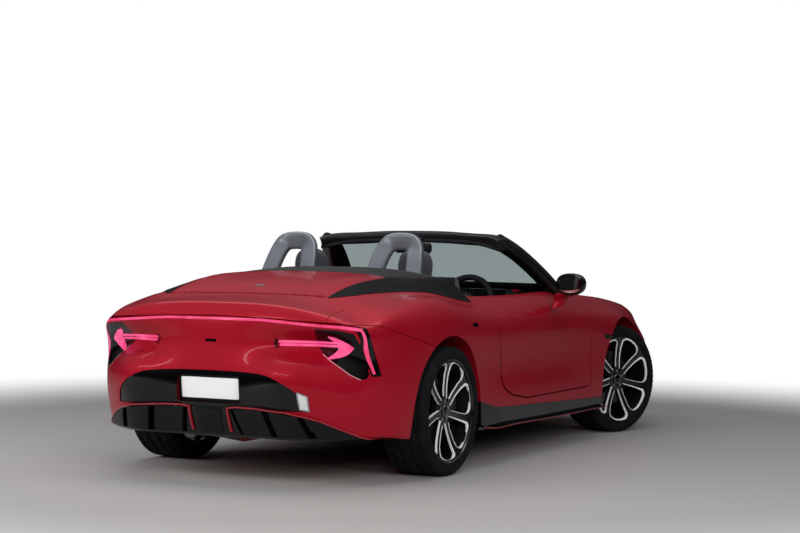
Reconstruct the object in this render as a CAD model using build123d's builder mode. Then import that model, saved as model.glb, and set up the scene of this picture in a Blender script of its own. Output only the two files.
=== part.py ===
"""Open two-seat roadster: body panels, doors, lids, steered front wheels and the cabin, in millimetres.

+X is forward, +Y is the car's left, +Z is up. The origin lies on the ground under the middle of the car.
Each piece is a closed solid of its own and is written to parts/ under its node's name.
"""

from build123d import *

import os
from math import radians, sin

os.makedirs("parts", exist_ok=True)

# ---------------------------------------------------------------- driving dimensions
LENGTH = 4535.0
FAR = 1300.0  # beyond the body upward and outward, for cutters
OVERSHOOT = 50.0  # how far a cutter runs past the end it cuts
WHEELBASE = 2690.0
REAR_OVERHANG = 982.5
TAIL_X = -LENGTH / 2
NOSE_X = LENGTH / 2
REAR_AXLE_X = TAIL_X + REAR_OVERHANG
FRONT_AXLE_X = REAR_AXLE_X + WHEELBASE

KINGPIN_Y = 736.0
REAR_WHEEL_Y = 808.0
TYRE_RADIUS = 351.0
FRONT_TYRE_WIDTH = 245.0
REAR_TYRE_WIDTH = 275.0
TYRE_BORE = 263.2
TYRE_SHOULDER = 26.0
RIM_RADIUS = 272.0  # over the flanges
BARREL_RADIUS = 263.0
BARREL_WALL = 9.0
FLANGE_WIDTH = 8.0
RIM_INSET = 10.0  # the rim is narrower than its tyre by this on each side
SPOKE_COUNT = 7
SPOKE_FACE = 98.0  # outboard face of the spokes, from the wheel's middle plane
SPOKE_DEPTH = 40.0
SPOKE_OUTLINE = [(20, -34), (20, 34), (150, 62), (257, 40), (257, -50), (150, -20)]
HUB_RADIUS = 78.0
HUB_RECESS = 12.0
SPINDLE_TIP = 64.0
DISC_RADIUS = 178.0
DISC_THICKNESS = 30.0
DISC_INBOARD = -14.0  # inboard face of the disc, from the wheel's middle plane
DISC_HAT = 108.0
CALIPER_GAP = 6.0
CALIPER_RADIUS = 232.0
CALIPER_INNER_RADIUS = 118.0
CALIPER_ANGLE = 46.0
CALIPER_WALL = 22.0
STEER_AT_REST = -20.0  # degrees; the road wheels are stored turned to the right
KINGPIN_INSET = 62.0  # from the tyre's middle plane inboard to the steering axis
KINGPIN_RADIUS = 14.0
SPINDLE_RADIUS = 32.0
KINGPIN_LOW_Z = 222.0
KINGPIN_HIGH_Z = 470.0
LOWER_ARM_Z = 238.0
UPPER_ARM_Z = 458.0
ARM_HEIGHT = 24.0
ARM_SPREAD = 110.0
EYE_RADIUS = 30.0
KNUCKLE_SIZE = (84.0, 66.0, 168.0)
BEAM = 50.0
REAR_BEAM_Z = 290.0
HALF_SHAFT_RADIUS = 20.0
DRIVE_UNIT = ((-1470, -230, 200), (-1100, 230, 425))
RUNNING_CLEARANCE = 0.06
SEAT_GAP = 0.3  # between fitted pieces that only rest on each other

ARCH_RADIUS = 408.0
FRONT_WELL_Y = 470.0  # inner wall of the front wheel wells, clear of the turned tyre
REAR_WELL_Y = 640.0
SHUT_GAP = 7.5  # round every panel that opens
PANEL = 30.0  # thickness of bonnet, boot lid and cover, measured upright
PANEL_CUT_Z = 300.0  # upright cutters for the panels start here

FLOOR_Z = 190.0  # underside of the tub
FLOOR_THICKNESS = 60.0
CABIN_REAR_X = -745.0
CABIN_FRONT_X = 930.0
SILL_TOP_Z = 430.0
COWL_X = 640.0  # rear edge of the scuttle, at the dashboard
FOOTWELL_TOP_Z = 700.0
FOOTWELL_HALF = 700.0
DOOR_INNER_Y = 760.0
DOOR_OUTER_Y = 935.0
CABIN_HALF = DOOR_INNER_Y - SHUT_GAP
DOOR_HINGE = (745.0, 770.0, 893.0)  # a point on the left door's axis
DOOR_TILT = 0.4  # the axis falls this much for each millimetre outboard
DOOR_CORNER = 64.0  # radius of the door's front top corner about its axis
HINGE_PIN_RADIUS = 9.0
HINGE_PIN_LENGTH = 46.0
DOOR_CORNER_GAP = 9.0  # round the corner's edge
DOOR_CORNER_DROP = 60.0  # the round corner reaches this far below the hinge point
HINGE_SET = 30.0  # how far the corner's round space reaches inboard of the hinge point
DOOR_BACK_GAP = 16.0  # behind the door's inner plane, for the dip of its tilted swing
# corner of the door seen from the side: x at the outer plane, x at the inner plane, height
DOOR_OUTLINE = [
    (-748, -748, 1000),
    (-622, -604, 789),
    (-578, -518, 644),
    (-574, -470, 483),
    (-545, -425, 423),
    (-431, -380, 380),
    (-214, -214, 347),
    (770, 770, 347),
    (809, 809, 400),
    (809, 809, 1000),
]

BOOT_LID = [(-1868, 493), (-1318, 526)]  # left half in plan, rear to front
BONNET = [(800, 650), (1000, 690), (1560, 630), (2010, 430)]
TONNEAU = [(-1274, 526), (-1000, 640), (-751, 640)]
BONNET_HINGE = (830.0, 880.0)  # x and z of the axis, near the rear edge
LID_HINGE = (-1348.0, 1032.0)  # x and z of the axis, near the front edge
HINGE_SWEEP = 68.0  # radius of the round space that a lid's hinged edge turns in
BONNET_SWEEP_HALF = 672.0
LID_SWEEP_HALF = 534.0
BUFFER_HALF = 16.0
BONNET_BUFFERS = [(1150, 560), (1700, 500)]
LID_BUFFERS = [(-1600, 495), (-1840, 484)]
INNER_SPLIT_Y = 480.0
FENDER_SPLIT_Y = 430.0
JACK_PADS = [(-760, 740), (820, 740)]
JACK_PAD_SIZE = (90.0, 60.0)
JACK_PAD_Z = 178.0
TOW_EYE = (2188.0, 350.0, 470.0)
TOW_EYE_RADIUS = 10.0
TOW_EYE_DEPTH = 45.0
TOW_POCKET_RADIUS = 24.0
BUMPER_SPLIT_X = -1955.0
LIP_HALF = 640.0  # shut line between the tail lip and the rear quarters
# upper edge of the rear bumper: seen from behind as y, z, then along the side as x, z down to the wheel arch
BUMPER_EDGE = [(0, 867), (516, 854), (812, 838), (FAR, 838), (FAR, 0), (0, 0)]
BUMPER_SIDE = [(-1955, 838), (-1914, 827), (-1766, 781), (-1460, 702), (-1460, 0), (-1955, 0)]
BUMPER_CORNER_Y = 720.0
TUB_REAR_X = -890.0
TUB_FRONT_X = 990.0
NOSE_SPLIT_X = 1900.0
DIFFUSER_TOP_Z = 405.0
BOOT_BOX = ((-1900, -480, 470), (-1330, 480, 1200))
REAR_BAY = ((-1480, -620, 0), (-1090, 620, 430))
FRONT_BAY = ((1010, -430, 0), (1985, 430, 1200))
BATTERY = ((-820, -640, 145), (880, 640, 255))
CABIN_FLOOR_Z = 300.0
WINDSCREEN_BASE = [(529, 770), (735, 0)]
WINDSCREEN_HEADER = [(50, 610), (165, 0)]
WINDSCREEN_LOW_Z = 905.0
WINDSCREEN_TOP_Z = 1285.0
FRAME_DEPTH = 44.0
GLASS_THICKNESS = 6.0
SCREEN_OPENING = [(712, 880), (560, 1235), (0, 1262)]  # left half seen from the front: y, z

SEAT_Y = 350.0
SEAT_HALF = 255.0
SEAT_ROUNDING = 30.0
CONSOLE_REAR_X = -740.0
# side profiles, x and z
SEAT_BASE_Z = CABIN_FLOOR_Z + SEAT_GAP
SEAT_PROFILE = [
    (130, SEAT_BASE_Z),
    (150, 520),
    (-300, 490),
    (-470, 1010),
    (-590, 1010),
    (-480, 470),
    (-480, SEAT_BASE_Z),
]
HEADREST_PROFILE = [(-455, 1005), (-430, 1200), (-520, 1225), (-590, 1005)]
HEADREST_HALF = 130.0
CONSOLE_HALF = 85.0
CONSOLE_TOP_Z = 560.0
DASH_REAR_X = 400.0
DASH_HALF = 735.0
DASH_LOW_Z = 560.0
DASH_TOP_Z = 925.0
DASH_ROUNDING = 60.0
CONSOLE_ROUNDING = 30.0
STEERING_CENTRE = (110.0, -SEAT_Y, 875.0)
STEERING_RADIUS = 176.0
STEERING_GRIP = 15.0
STEERING_HUB = 62.0
STEERING_TILT = 114.0  # the column points forward and down
COLUMN_RADIUS = 30.0

HOOP_X = -785.0
HOOP_BASE_Z = 1060.0
HOOP_TOP_Z = 1285.0
HOOP_INNER_Y = 225.0
HOOP_OUTER_Y = 478.0
HOOP_RADIUS = 24.0
HOOP_BEND = 110.0

MIRROR_CENTRE = (255.0, 1012.0, 1010.0)
MIRROR_SIZE = (130.0, 200.0, 120.0)
MIRROR_ROUNDING = 30.0
# the stalk: its length along the car, its inner end from the door's inner plane, its foot below the
# hinge point, and how far it runs into the housing outward and upward
MIRROR_STALK = (70.0, 44.0, 60.0, 60.0, 20.0)

PLATE = (360.0, 125.0, 6.0)
PLATE_X = -2230.0
PLATE_Z = 502.0
PLATE_TILT = -14.0
PLATE_POCKET = (90.0, 12.0)  # depth behind the plate's back, and margin round it

LAMP_DEPTH = 28.0
LIGHT_BAR = [(0, 882), (520, 866), (812, 836), (836, 600), (812, 598), (786, 806), (512, 842), (0, 852)]
ARROW = [(372, 752), (628, 760), (628, 800), (748, 732), (628, 664), (628, 708), (372, 722)]
HEADLAMP = [(430, 640), (700, 640), (770, 560), (700, 548), (440, 590)]
LAMP_PANEL = [(645, 812), (786, 800), (812, 600), (765, 588), (700, 614), (640, 680)]
LOWER_PANEL = [(0, 584), (385, 580), (470, 545), (560, DIFFUSER_TOP_Z), (0, DIFFUSER_TOP_Z)]
TRIM_DEPTH = 12.0
HEADLAMP_DEPTH = 150.0
HEADLAMP_REAR_X = 1910.0
INTAKE = [(0, 420), (520, 420), (620, 330), (540, 250), (0, 250)]
GRILLE_DEPTH = 60.0
INTAKE_DEPTH = 110.0
SKIRT_TOP_Z = 292.0
SKIRT_INNER_Y = 850.0

# ---------------------------------------------------------------- outer body: one section per row
# x, then the points of a half section from the middle of the top to the rocker's lower edge:
# z0 middle | y1,z1 deck edge | y2,z2 wing crest | y3,z3 shoulder | y4,z4 widest | y5,z5 low side |
# y6,z6 rocker
SECTIONS = [
    (-2300, 915, 470, 892, 690, 834, 785, 800, 815, 640, 815, 440, 795, 262),
    (-2025, 963, 500, 936, 690, 884, 792, 842, 832, 640, 838, 430, 822, 258),
    (-1868, 988, 500, 975, 690, 927, 836, 885, 872, 700, 879, 450, 855, 257),
    (-1700, 1035, 500, 1020, 690, 961, 850, 915, 908, 740, 918, 450, 890, 235),
    (-1285, 1092, 520, 1066, 700, 990, 872, 940, 941, 730, 944, 450, 912, 220),
    (-880, 1106, 600, 1072, 765, 965, 872, 890, 925, 700, 925, 430, 910, 214),
    (-300, 985, 690, 965, 822, 938, 866, 846, 904, 700, 905, 430, 904, 207),
    (400, 972, 690, 958, 812, 940, 864, 846, 902, 690, 903, 430, 902, 203),
    (900, 922, 560, 914, 768, 912, 856, 830, 913, 690, 912, 430, 903, 202),
    (1405, 850, 480, 846, 745, 874, 856, 800, 925, 660, 937, 430, 905, 205),
    (1850, 752, 440, 749, 690, 798, 808, 735, 880, 580, 892, 410, 859, 205),
    (2300, 605, 400, 596, 560, 600, 700, 556, 790, 450, 786, 350, 756, 200),
]

# Tail and nose are bodies of revolution about upright axes, so each is a profile and one plan radius.
TAIL_PLAN_RADIUS = 2000.0
NOSE_PLAN_RADIUS = 1120.0
# height, distance behind the plan axis less the plan radius (0 is the rearmost line)
TAIL_PROFILE = [
    (FAR, -102),
    (945, -102),
    (862, -55),
    (753, -40),
    (635, -17),
    (580, -5),
    (430, -8),
    (250, -75),
    (200, -100),
]
NOSE_PROFILE = [
    (FAR, -300),
    (860, -300),
    (690, -95),
    (620, -28),
    (520, -2),
    (440, 0),
    (330, -12),
    (190, -55),
]


def half_points(row):
    """The seven points of a half section, from the middle of the top to the rocker."""
    z0, rest = row[1], row[2:]
    return [(0.0, z0)] + [(rest[i], rest[i + 1]) for i in range(0, len(rest), 2)]


def section_plane(x):
    """Sketch plane across the car at x: local X is the car's +Y, local Y is up."""
    return Plane(origin=(x, 0, 0), x_dir=(0, 1, 0), z_dir=(1, 0, 0))


def side_plane(y):
    """Sketch plane along the car at y: local X is the car's +X, local Y is up, normal -Y."""
    return Plane(origin=(0, y, 0), x_dir=(1, 0, 0), z_dir=(0, -1, 0))


def box_between(low, high):
    """A box given by its lowest and highest corners, outside any builder."""
    size = [b - a for a, b in zip(low, high)]
    return Pos(*[(a + b) / 2 for a, b in zip(low, high)]) * Box(*size)


def both_sides(shape):
    """A shape and its mirror image across the car."""
    return shape, mirror(shape, about=Plane.XZ)


def end_barrel(profile, plan_radius, tip_x, sign):
    """The space inside an end's surface of revolution. sign is -1 for the tail and +1 for the nose."""
    axis_x = tip_x - sign * plan_radius
    outline = [(plan_radius + d, z) for z, d in profile]
    with BuildPart() as barrel:
        with BuildSketch(Plane(origin=(axis_x, 0, 0), x_dir=(1, 0, 0), z_dir=(0, -1, 0))):
            with BuildLine():
                Polyline([(0, outline[0][1])] + outline + [(0, outline[-1][1])], close=True)
            make_face()
        revolve(axis=Axis((axis_x, 0, 0), (0, 0, 1)))
    rest = box_between((min(axis_x, -sign * LENGTH), -LENGTH, 0), (max(axis_x, -sign * LENGTH), LENGTH, FAR))
    return barrel.part + rest


def write(name, part):
    """Label a finished piece and write its file."""
    part.label = name
    export_step(part, "parts/" + name + ".step")
    print(name, len(part.solids()), round(part.volume / 1e6, 2))


# ---------------------------------------------------------------- wheels, made about Y, outboard side +Y
def ring(outer_radius, inner_radius, inboard, outboard):
    """A plain ring about the Y axis between two distances along it."""
    with BuildPart() as piece:
        with BuildSketch(Plane(origin=(0, inboard, 0), x_dir=(1, 0, 0), z_dir=(0, 1, 0))):
            Circle(outer_radius)
            if inner_radius:
                Circle(inner_radius, mode=Mode.SUBTRACT)
        extrude(amount=outboard - inboard)
    return piece.part


def make_tyre(width):
    """A tyre with rounded shoulders, closed on the rim's barrel between its flanges."""
    tyre = ring(TYRE_RADIUS, TYRE_BORE, -width / 2, width / 2)
    tread_edges = [e for e in tyre.edges().filter_by(GeomType.CIRCLE) if e.radius > RIM_RADIUS]
    tyre = fillet(tread_edges, TYRE_SHOULDER)
    seat = width / 2 - RIM_INSET - FLANGE_WIDTH
    for inboard, outboard in ((-width, -seat), (seat, width)):
        tyre = tyre - ring(RIM_RADIUS + SEAT_GAP, 0, inboard - SEAT_GAP, outboard + SEAT_GAP)
    return tyre


def make_rim(width):
    """Barrel with flanges, a hub with the spindle's bore, and the spokes."""
    half = width / 2 - RIM_INSET
    barrel_inner = BARREL_RADIUS - BARREL_WALL
    with BuildPart() as rim:
        with BuildSketch(Plane(origin=(0, SPOKE_FACE - SPOKE_DEPTH, 0), x_dir=(1, 0, 0), z_dir=(0, 1, 0))):
            with PolarLocations(0, SPOKE_COUNT):
                with BuildLine():
                    Polyline(SPOKE_OUTLINE, close=True)
                make_face()
        extrude(amount=SPOKE_DEPTH)
    rim = rim.part + ring(BARREL_RADIUS, barrel_inner, -half, half)
    for start in (-half, half - FLANGE_WIDTH):
        rim = rim + ring(RIM_RADIUS, barrel_inner, start, start + FLANGE_WIDTH)
    rim = rim + ring(HUB_RADIUS, 0, DISC_INBOARD + DISC_THICKNESS, SPOKE_FACE - HUB_RECESS)
    return rim - ring(SPINDLE_RADIUS + RUNNING_CLEARANCE, 0, -half, SPINDLE_TIP + RUNNING_CLEARANCE)


def make_disc():
    """Brake disc and its hat, bored for the spindle."""
    face = DISC_INBOARD + DISC_THICKNESS
    disc = ring(DISC_RADIUS, DISC_HAT, DISC_INBOARD, face)
    return disc + ring(DISC_HAT + 1, SPINDLE_RADIUS + RUNNING_CLEARANCE, face - BARREL_WALL, face)


def make_caliper(sign):
    """Caliper straddling the disc on its +X or -X side, with a bracket back to the upright."""
    inboard = DISC_INBOARD - CALIPER_GAP
    outboard = DISC_INBOARD + DISC_THICKNESS + CALIPER_GAP
    blank = ring(CALIPER_RADIUS, CALIPER_INNER_RADIUS, inboard - CALIPER_WALL, outboard + CALIPER_WALL)
    side = FAR * sin(radians(CALIPER_ANGLE / 2))
    with BuildPart() as wedge:
        with BuildSketch(Plane.XZ.offset(-FAR)):
            with BuildLine():
                Polyline([(0, 0), (sign * FAR, side), (sign * FAR, -side)], close=True)
            make_face()
        extrude(amount=2 * FAR)
    caliper = (blank & wedge.part) - ring(DISC_RADIUS + CALIPER_GAP, 0, inboard, outboard)
    reach = sorted((0, sign * (CALIPER_INNER_RADIUS + CALIPER_WALL)))
    height = KNUCKLE_SIZE[2] / 4
    low = (reach[0], -KINGPIN_INSET - CALIPER_WALL / 2, -height)
    high = (reach[1], inboard - CALIPER_GAP, height)
    return caliper + box_between(low, high)


def upright():
    """The block behind the wheel with its spindle; the wheel turns about the Y axis."""
    x, y, z = KNUCKLE_SIZE
    block = box_between((-x / 2, -KINGPIN_INSET - y / 2, -z / 2), (x / 2, -KINGPIN_INSET + y / 2, z / 2))
    return block + ring(SPINDLE_RADIUS, 0, -KINGPIN_INSET, SPINDLE_TIP)


steered = (0, 0, STEER_AT_REST)
left_kingpin = Location((FRONT_AXLE_X, KINGPIN_Y, TYRE_RADIUS), steered)
right_kingpin = Location((FRONT_AXLE_X, -KINGPIN_Y, TYRE_RADIUS), steered)
corners = [
    ("fl", left_kingpin * Pos(0, KINGPIN_INSET, 0), FRONT_TYRE_WIDTH),
    ("fr", right_kingpin * Pos(0, -KINGPIN_INSET, 0), FRONT_TYRE_WIDTH),
    ("rl", Pos(REAR_AXLE_X, REAR_WHEEL_Y, TYRE_RADIUS), REAR_TYRE_WIDTH),
    ("rr", Pos(REAR_AXLE_X, -REAR_WHEEL_Y, TYRE_RADIUS), REAR_TYRE_WIDTH),
]
kingpin_middle = (KINGPIN_LOW_Z + KINGPIN_HIGH_Z) / 2 - TYRE_RADIUS
kingpin = Pos(0, -KINGPIN_INSET, kingpin_middle) * Cylinder(KINGPIN_RADIUS, KINGPIN_HIGH_Z - KINGPIN_LOW_Z)
front_knuckle = upright() + make_caliper(-1) + kingpin
rear_carrier = upright() + make_caliper(1)
for corner, place, tyre_width in corners:
    pieces = {"tyre_": make_tyre(tyre_width), "rim_": make_rim(tyre_width), "disc_": make_disc()}
    if corner[0] == "f":
        pieces["knuckle_"] = front_knuckle
    for prefix, piece in pieces.items():
        write(prefix + corner, place * (mirror(piece, about=Plane.XZ) if corner[1] == "r" else piece))

# ---------------------------------------------------------------- suspension, drive and battery
def arm_with_eye(z, inner_y):
    """A wishbone from its inner end out to an eye round the left kingpin."""
    with BuildPart() as arm:
        with BuildSketch(Plane.XY.offset(z - ARM_HEIGHT / 2)):
            with BuildLine():
                Polyline(
                    (FRONT_AXLE_X - ARM_SPREAD, inner_y),
                    (FRONT_AXLE_X - EYE_RADIUS, KINGPIN_Y),
                    (FRONT_AXLE_X + EYE_RADIUS, KINGPIN_Y),
                    (FRONT_AXLE_X + ARM_SPREAD, inner_y),
                    close=True,
                )
            make_face()
            with Locations((FRONT_AXLE_X, KINGPIN_Y)):
                Circle(EYE_RADIUS)
                Circle(KINGPIN_RADIUS + RUNNING_CLEARANCE, mode=Mode.SUBTRACT)
        extrude(amount=ARM_HEIGHT)
    return arm.part


bay_half = FRONT_BAY[1][1]
front_suspension = box_between(
    (FRONT_AXLE_X - BEAM, -bay_half, LOWER_ARM_Z - BEAM / 2),
    (FRONT_AXLE_X + BEAM, bay_half, LOWER_ARM_Z + BEAM / 2),
)
for arm in (arm_with_eye(LOWER_ARM_Z, bay_half - 1), arm_with_eye(UPPER_ARM_Z, FRONT_WELL_Y)):
    for piece in both_sides(arm):
        front_suspension = front_suspension + piece


rear_half = REAR_BAY[1][1]
rear_hub_y = REAR_WHEEL_Y - KINGPIN_INSET
rear_suspension = box_between(
    (REAR_AXLE_X - BEAM, -rear_hub_y, REAR_BEAM_Z - BEAM / 2),
    (REAR_AXLE_X + BEAM, rear_hub_y, REAR_BEAM_Z + BEAM / 2),
)
shaft = Pos(REAR_AXLE_X, 0, TYRE_RADIUS) * Rot(90, 0, 0) * Cylinder(HALF_SHAFT_RADIUS, 2 * rear_hub_y)
rear_suspension = rear_suspension + shaft
for piece in both_sides(corners[2][1] * rear_carrier):
    rear_suspension = rear_suspension + piece
drive_case = box_between(*DRIVE_UNIT)
rear_suspension = rear_suspension - drive_case
write("front_suspension", front_suspension)
write("rear_suspension", rear_suspension)
write("drive_unit", drive_case)
write("battery_pack", box_between(*BATTERY))

# ---------------------------------------------------------------- outer body
with BuildPart() as outer:
    for row in SECTIONS:
        p = half_points(row)
        q = [(-y, z) for y, z in p]
        with BuildSketch(section_plane(row[0])):
            with BuildLine():
                ThreePointArc(q[1], p[0], p[1])
                Line(p[1], p[2])
                ThreePointArc(p[2], p[3], p[4])
                ThreePointArc(p[4], p[5], p[6])
                Line(p[6], q[6])
                ThreePointArc(q[6], q[5], q[4])
                ThreePointArc(q[4], q[3], q[2])
                Line(q[2], q[1])
            make_face()
    loft()

tail_space = end_barrel(TAIL_PROFILE, TAIL_PLAN_RADIUS, TAIL_X, -1)
nose_space = end_barrel(NOSE_PROFILE, NOSE_PLAN_RADIUS, NOSE_X, 1)
BODY = outer.part & tail_space & nose_space


# ---------------------------------------------------------------- spaces inside the body
def wheel_well(axle_x, wall_y):
    """The round space over the left wheel, open below and outward."""
    with BuildPart() as well:
        with BuildSketch(side_plane(FAR)):
            with Locations((axle_x, TYRE_RADIUS)):
                Circle(ARCH_RADIUS)
                Rectangle(2 * ARCH_RADIUS, FAR, align=(Align.CENTER, Align.MAX))
        extrude(amount=FAR - wall_y)
    return well.part


def side_prism(points, inner_y, outer_y):
    """A prism on the left over an outline seen from the side, given as x, z, between two distances out."""
    with BuildPart() as prism:
        with BuildSketch(side_plane(outer_y)):
            with BuildLine():
                Polyline(points, close=True)
            make_face()
        extrude(amount=outer_y - inner_y)
    return prism.part


def plan_prism(points, low, high, gap=0.0):
    """An upright prism over a plan outline, given for the left half and mirrored, grown by a gap."""
    with BuildPart() as prism:
        with BuildSketch(Plane.XY.offset(low)):
            with BuildLine():
                Polyline(points + [(x, -y) for x, y in reversed(points)], close=True)
            make_face()
            if gap:
                offset(amount=gap, kind=Kind.INTERSECTION)
        extrude(amount=high - low)
    return prism.part


def door_prism(gap, inner_y):
    """The left door's space between an inner plane and its outer plane, grown by a gap all round."""
    with BuildPart() as prism:
        for plane_y, column in ((DOOR_OUTER_Y, 0), (inner_y, 1)):
            with BuildSketch(side_plane(plane_y)):
                with BuildLine():
                    Polyline([(row[column], row[2]) for row in DOOR_OUTLINE], close=True)
                make_face()
                if gap:
                    offset(amount=gap, kind=Kind.INTERSECTION)
        loft(ruled=True)
    return prism.part


hinge_axis_dir = (0, 1, -DOOR_TILT)
hinge_plane = Plane(origin=DOOR_HINGE, z_dir=hinge_axis_dir)


def hinge_cylinder(radius, inner, outer_end):
    """A cylinder on the left door's axis, between two distances along it from the hinge point."""
    with BuildPart() as rod:
        with BuildSketch(hinge_plane.offset(inner)):
            Circle(radius)
        extrude(amount=outer_end - inner)
    return rod.part


def front_corner(radius):
    """All that lies ahead of the left door's axis and above it, outside a radius about the axis."""
    foot = (DOOR_HINGE[0], CABIN_HALF, DOOR_HINGE[2] - DOOR_CORNER_DROP)
    block = box_between(foot, (FAR, FAR, FAR))
    return block - hinge_cylinder(radius, -FAR, FAR)


wells = []
for axle_x, wall_y in ((FRONT_AXLE_X, FRONT_WELL_Y), (REAR_AXLE_X, REAR_WELL_Y)):
    wells += both_sides(wheel_well(axle_x, wall_y))

cabin_space = box_between((CABIN_REAR_X, -CABIN_HALF, CABIN_FLOOR_Z), (COWL_X, CABIN_HALF, FAR))
footwell_high = (CABIN_FRONT_X, FOOTWELL_HALF, FOOTWELL_TOP_Z)
footwell = box_between((COWL_X, -FOOTWELL_HALF, CABIN_FLOOR_Z), footwell_high)
hinge_bore = hinge_cylinder(HINGE_PIN_RADIUS + RUNNING_CLEARANCE, -HINGE_PIN_LENGTH - SHUT_GAP, 0)
door_seat = door_prism(SHUT_GAP, DOOR_INNER_Y - DOOR_BACK_GAP)
corner_space = hinge_cylinder(DOOR_CORNER + DOOR_CORNER_GAP, -HINGE_SET, FAR / 2)
door_seats = both_sides(door_seat + corner_space + hinge_bore)
boot_space = box_between(*BOOT_BOX)
bays = [box_between(*REAR_BAY), box_between(*FRONT_BAY)]
lower_body = Pos(0, 0, -PANEL) * BODY
upper_skin = BODY - lower_body

SHELL = BODY
for space in [*wells, cabin_space, footwell, *door_seats, boot_space, *bays]:
    SHELL = SHELL - space
below_gap = Pos(0, 0, -PANEL - SHUT_GAP) * BODY
below_seat = Pos(0, 0, -PANEL - SEAT_GAP) * BODY
panel_recess = BODY - below_gap
for outline, buffers, hinge, half in (
    (BOOT_LID, LID_BUFFERS, LID_HINGE, LID_SWEEP_HALF),
    (BONNET, BONNET_BUFFERS, BONNET_HINGE, BONNET_SWEEP_HALF),
):
    sweep_space = Pos(hinge[0], 0, hinge[1]) * Rot(90, 0, 0) * Cylinder(HINGE_SWEEP, 2 * half)
    recess = (plan_prism(outline, PANEL_CUT_Z, FAR, SHUT_GAP) & panel_recess) + sweep_space
    for x, y in buffers:
        low = (x - BUFFER_HALF, y - BUFFER_HALF, PANEL_CUT_Z)
        for column in both_sides(box_between(low, (x + BUFFER_HALF, y + BUFFER_HALF, FAR))):
            recess = recess - (column & below_seat)
    SHELL = SHELL - recess
SHELL = SHELL - (plan_prism(TONNEAU, PANEL_CUT_Z, FAR) & upper_skin)
for carried in (box_between(*BATTERY), front_suspension, rear_suspension):
    SHELL = SHELL - carried


def mirrored_prism(points, low_x, high_x):
    """A prism along the car over an outline seen from behind, given as y, z for the left half."""
    with BuildPart() as prism:
        with BuildSketch(section_plane(low_x)):
            with BuildLine():
                Polyline(points + [(-y, z) for y, z in reversed(points) if y], close=True)
            make_face()
        extrude(amount=high_x - low_x)
    return prism.part


def left_prism(points, low_x, high_x):
    """The same over one closed outline on the left."""
    with BuildPart() as prism:
        with BuildSketch(section_plane(low_x)):
            with BuildLine():
                Polyline(points, close=True)
            make_face()
        extrude(amount=high_x - low_x)
    return prism.part


tail_skin = BODY - Pos(LAMP_DEPTH, 0, 0) * BODY
bar_space = mirrored_prism(LIGHT_BAR, TAIL_X - OVERSHOOT, BUMPER_SPLIT_X)
arrow_spaces = both_sides(left_prism(ARROW, TAIL_X - OVERSHOOT, BUMPER_SPLIT_X))
tail_lamps = tail_skin & bar_space
for space in arrow_spaces:
    tail_lamps = tail_lamps + (tail_skin & space)
trim_skin = BODY - Pos(TRIM_DEPTH, 0, 0) * BODY
lamp_panel_spaces = both_sides(left_prism(LAMP_PANEL, TAIL_X - OVERSHOOT, BUMPER_SPLIT_X))
lamp_panels = (trim_skin & lamp_panel_spaces[0]) + (trim_skin & lamp_panel_spaces[1]) - tail_lamps
plate_length, plate_height, plate_thickness = PLATE
pocket_depth, pocket_margin = PLATE_POCKET
plate_place = Location((PLATE_X, 0, PLATE_Z), (0, PLATE_TILT, 0))
pocket_block = Box(pocket_depth, plate_length + 2 * pocket_margin, plate_height + 2 * pocket_margin)
plate_pocket = plate_place * Pos((plate_thickness - pocket_depth) / 2, 0, 0) * pocket_block
lower_panel = (trim_skin & mirrored_prism(LOWER_PANEL, TAIL_X - OVERSHOOT, BUMPER_SPLIT_X)) - plate_pocket
nose_skin = BODY - Pos(-HEADLAMP_DEPTH, 0, 0) * BODY
lamp_spaces = both_sides(left_prism(HEADLAMP, HEADLAMP_REAR_X, NOSE_X + OVERSHOOT))
headlamps = (nose_skin & lamp_spaces[0]) + (nose_skin & lamp_spaces[1])
intake_space = mirrored_prism(INTAKE, NOSE_SPLIT_X, NOSE_X + OVERSHOOT)
intake_skin = BODY - Pos(-INTAKE_DEPTH, 0, 0) * BODY
grille = (Pos(GRILLE_DEPTH - INTAKE_DEPTH, 0, 0) * intake_skin) & intake_space & intake_skin
SHELL = SHELL - tail_lamps - headlamps - (intake_skin & intake_space)
SHELL = SHELL - lamp_panels - lower_panel - plate_pocket


def cut_region(low, high):
    """The part of the shell inside a box."""
    return SHELL & box_between(low, high)


# ---------------------------------------------------------------- fixed body pieces
tub_region = box_between((TUB_REAR_X, -FAR, 0), (TUB_FRONT_X, FAR, SILL_TOP_Z))
skirt_regions = both_sides(box_between((TUB_REAR_X, SKIRT_INNER_Y, 0), (TUB_FRONT_X, FAR, SKIRT_TOP_Z)))
tub = SHELL & tub_region
write("side_skirts", (SHELL & skirt_regions[0]) + (SHELL & skirt_regions[1]))
tub = tub - skirt_regions[0] - skirt_regions[1]
pad_x, pad_y = JACK_PAD_SIZE
for x, y in JACK_PADS:
    low = (x - pad_x / 2, y - pad_y / 2, JACK_PAD_Z)
    for pad in both_sides(box_between(low, (x + pad_x / 2, y + pad_y / 2, BATTERY[1][2]))):
        tub = tub + pad
write("body_tub", tub)


def split_lengthwise(block, half_width, inner_name, side_name):
    """Cut a block into its middle and its left and right sides, and write the three."""
    middle = box_between((-LENGTH, -half_width, 0), (LENGTH, half_width, FAR))
    left = box_between((-LENGTH, half_width, 0), (LENGTH, FAR, FAR))
    write(inner_name, block & middle)
    for side, region in zip(("_left", "_right"), both_sides(left)):
        write(side_name + side, block & region)


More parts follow.
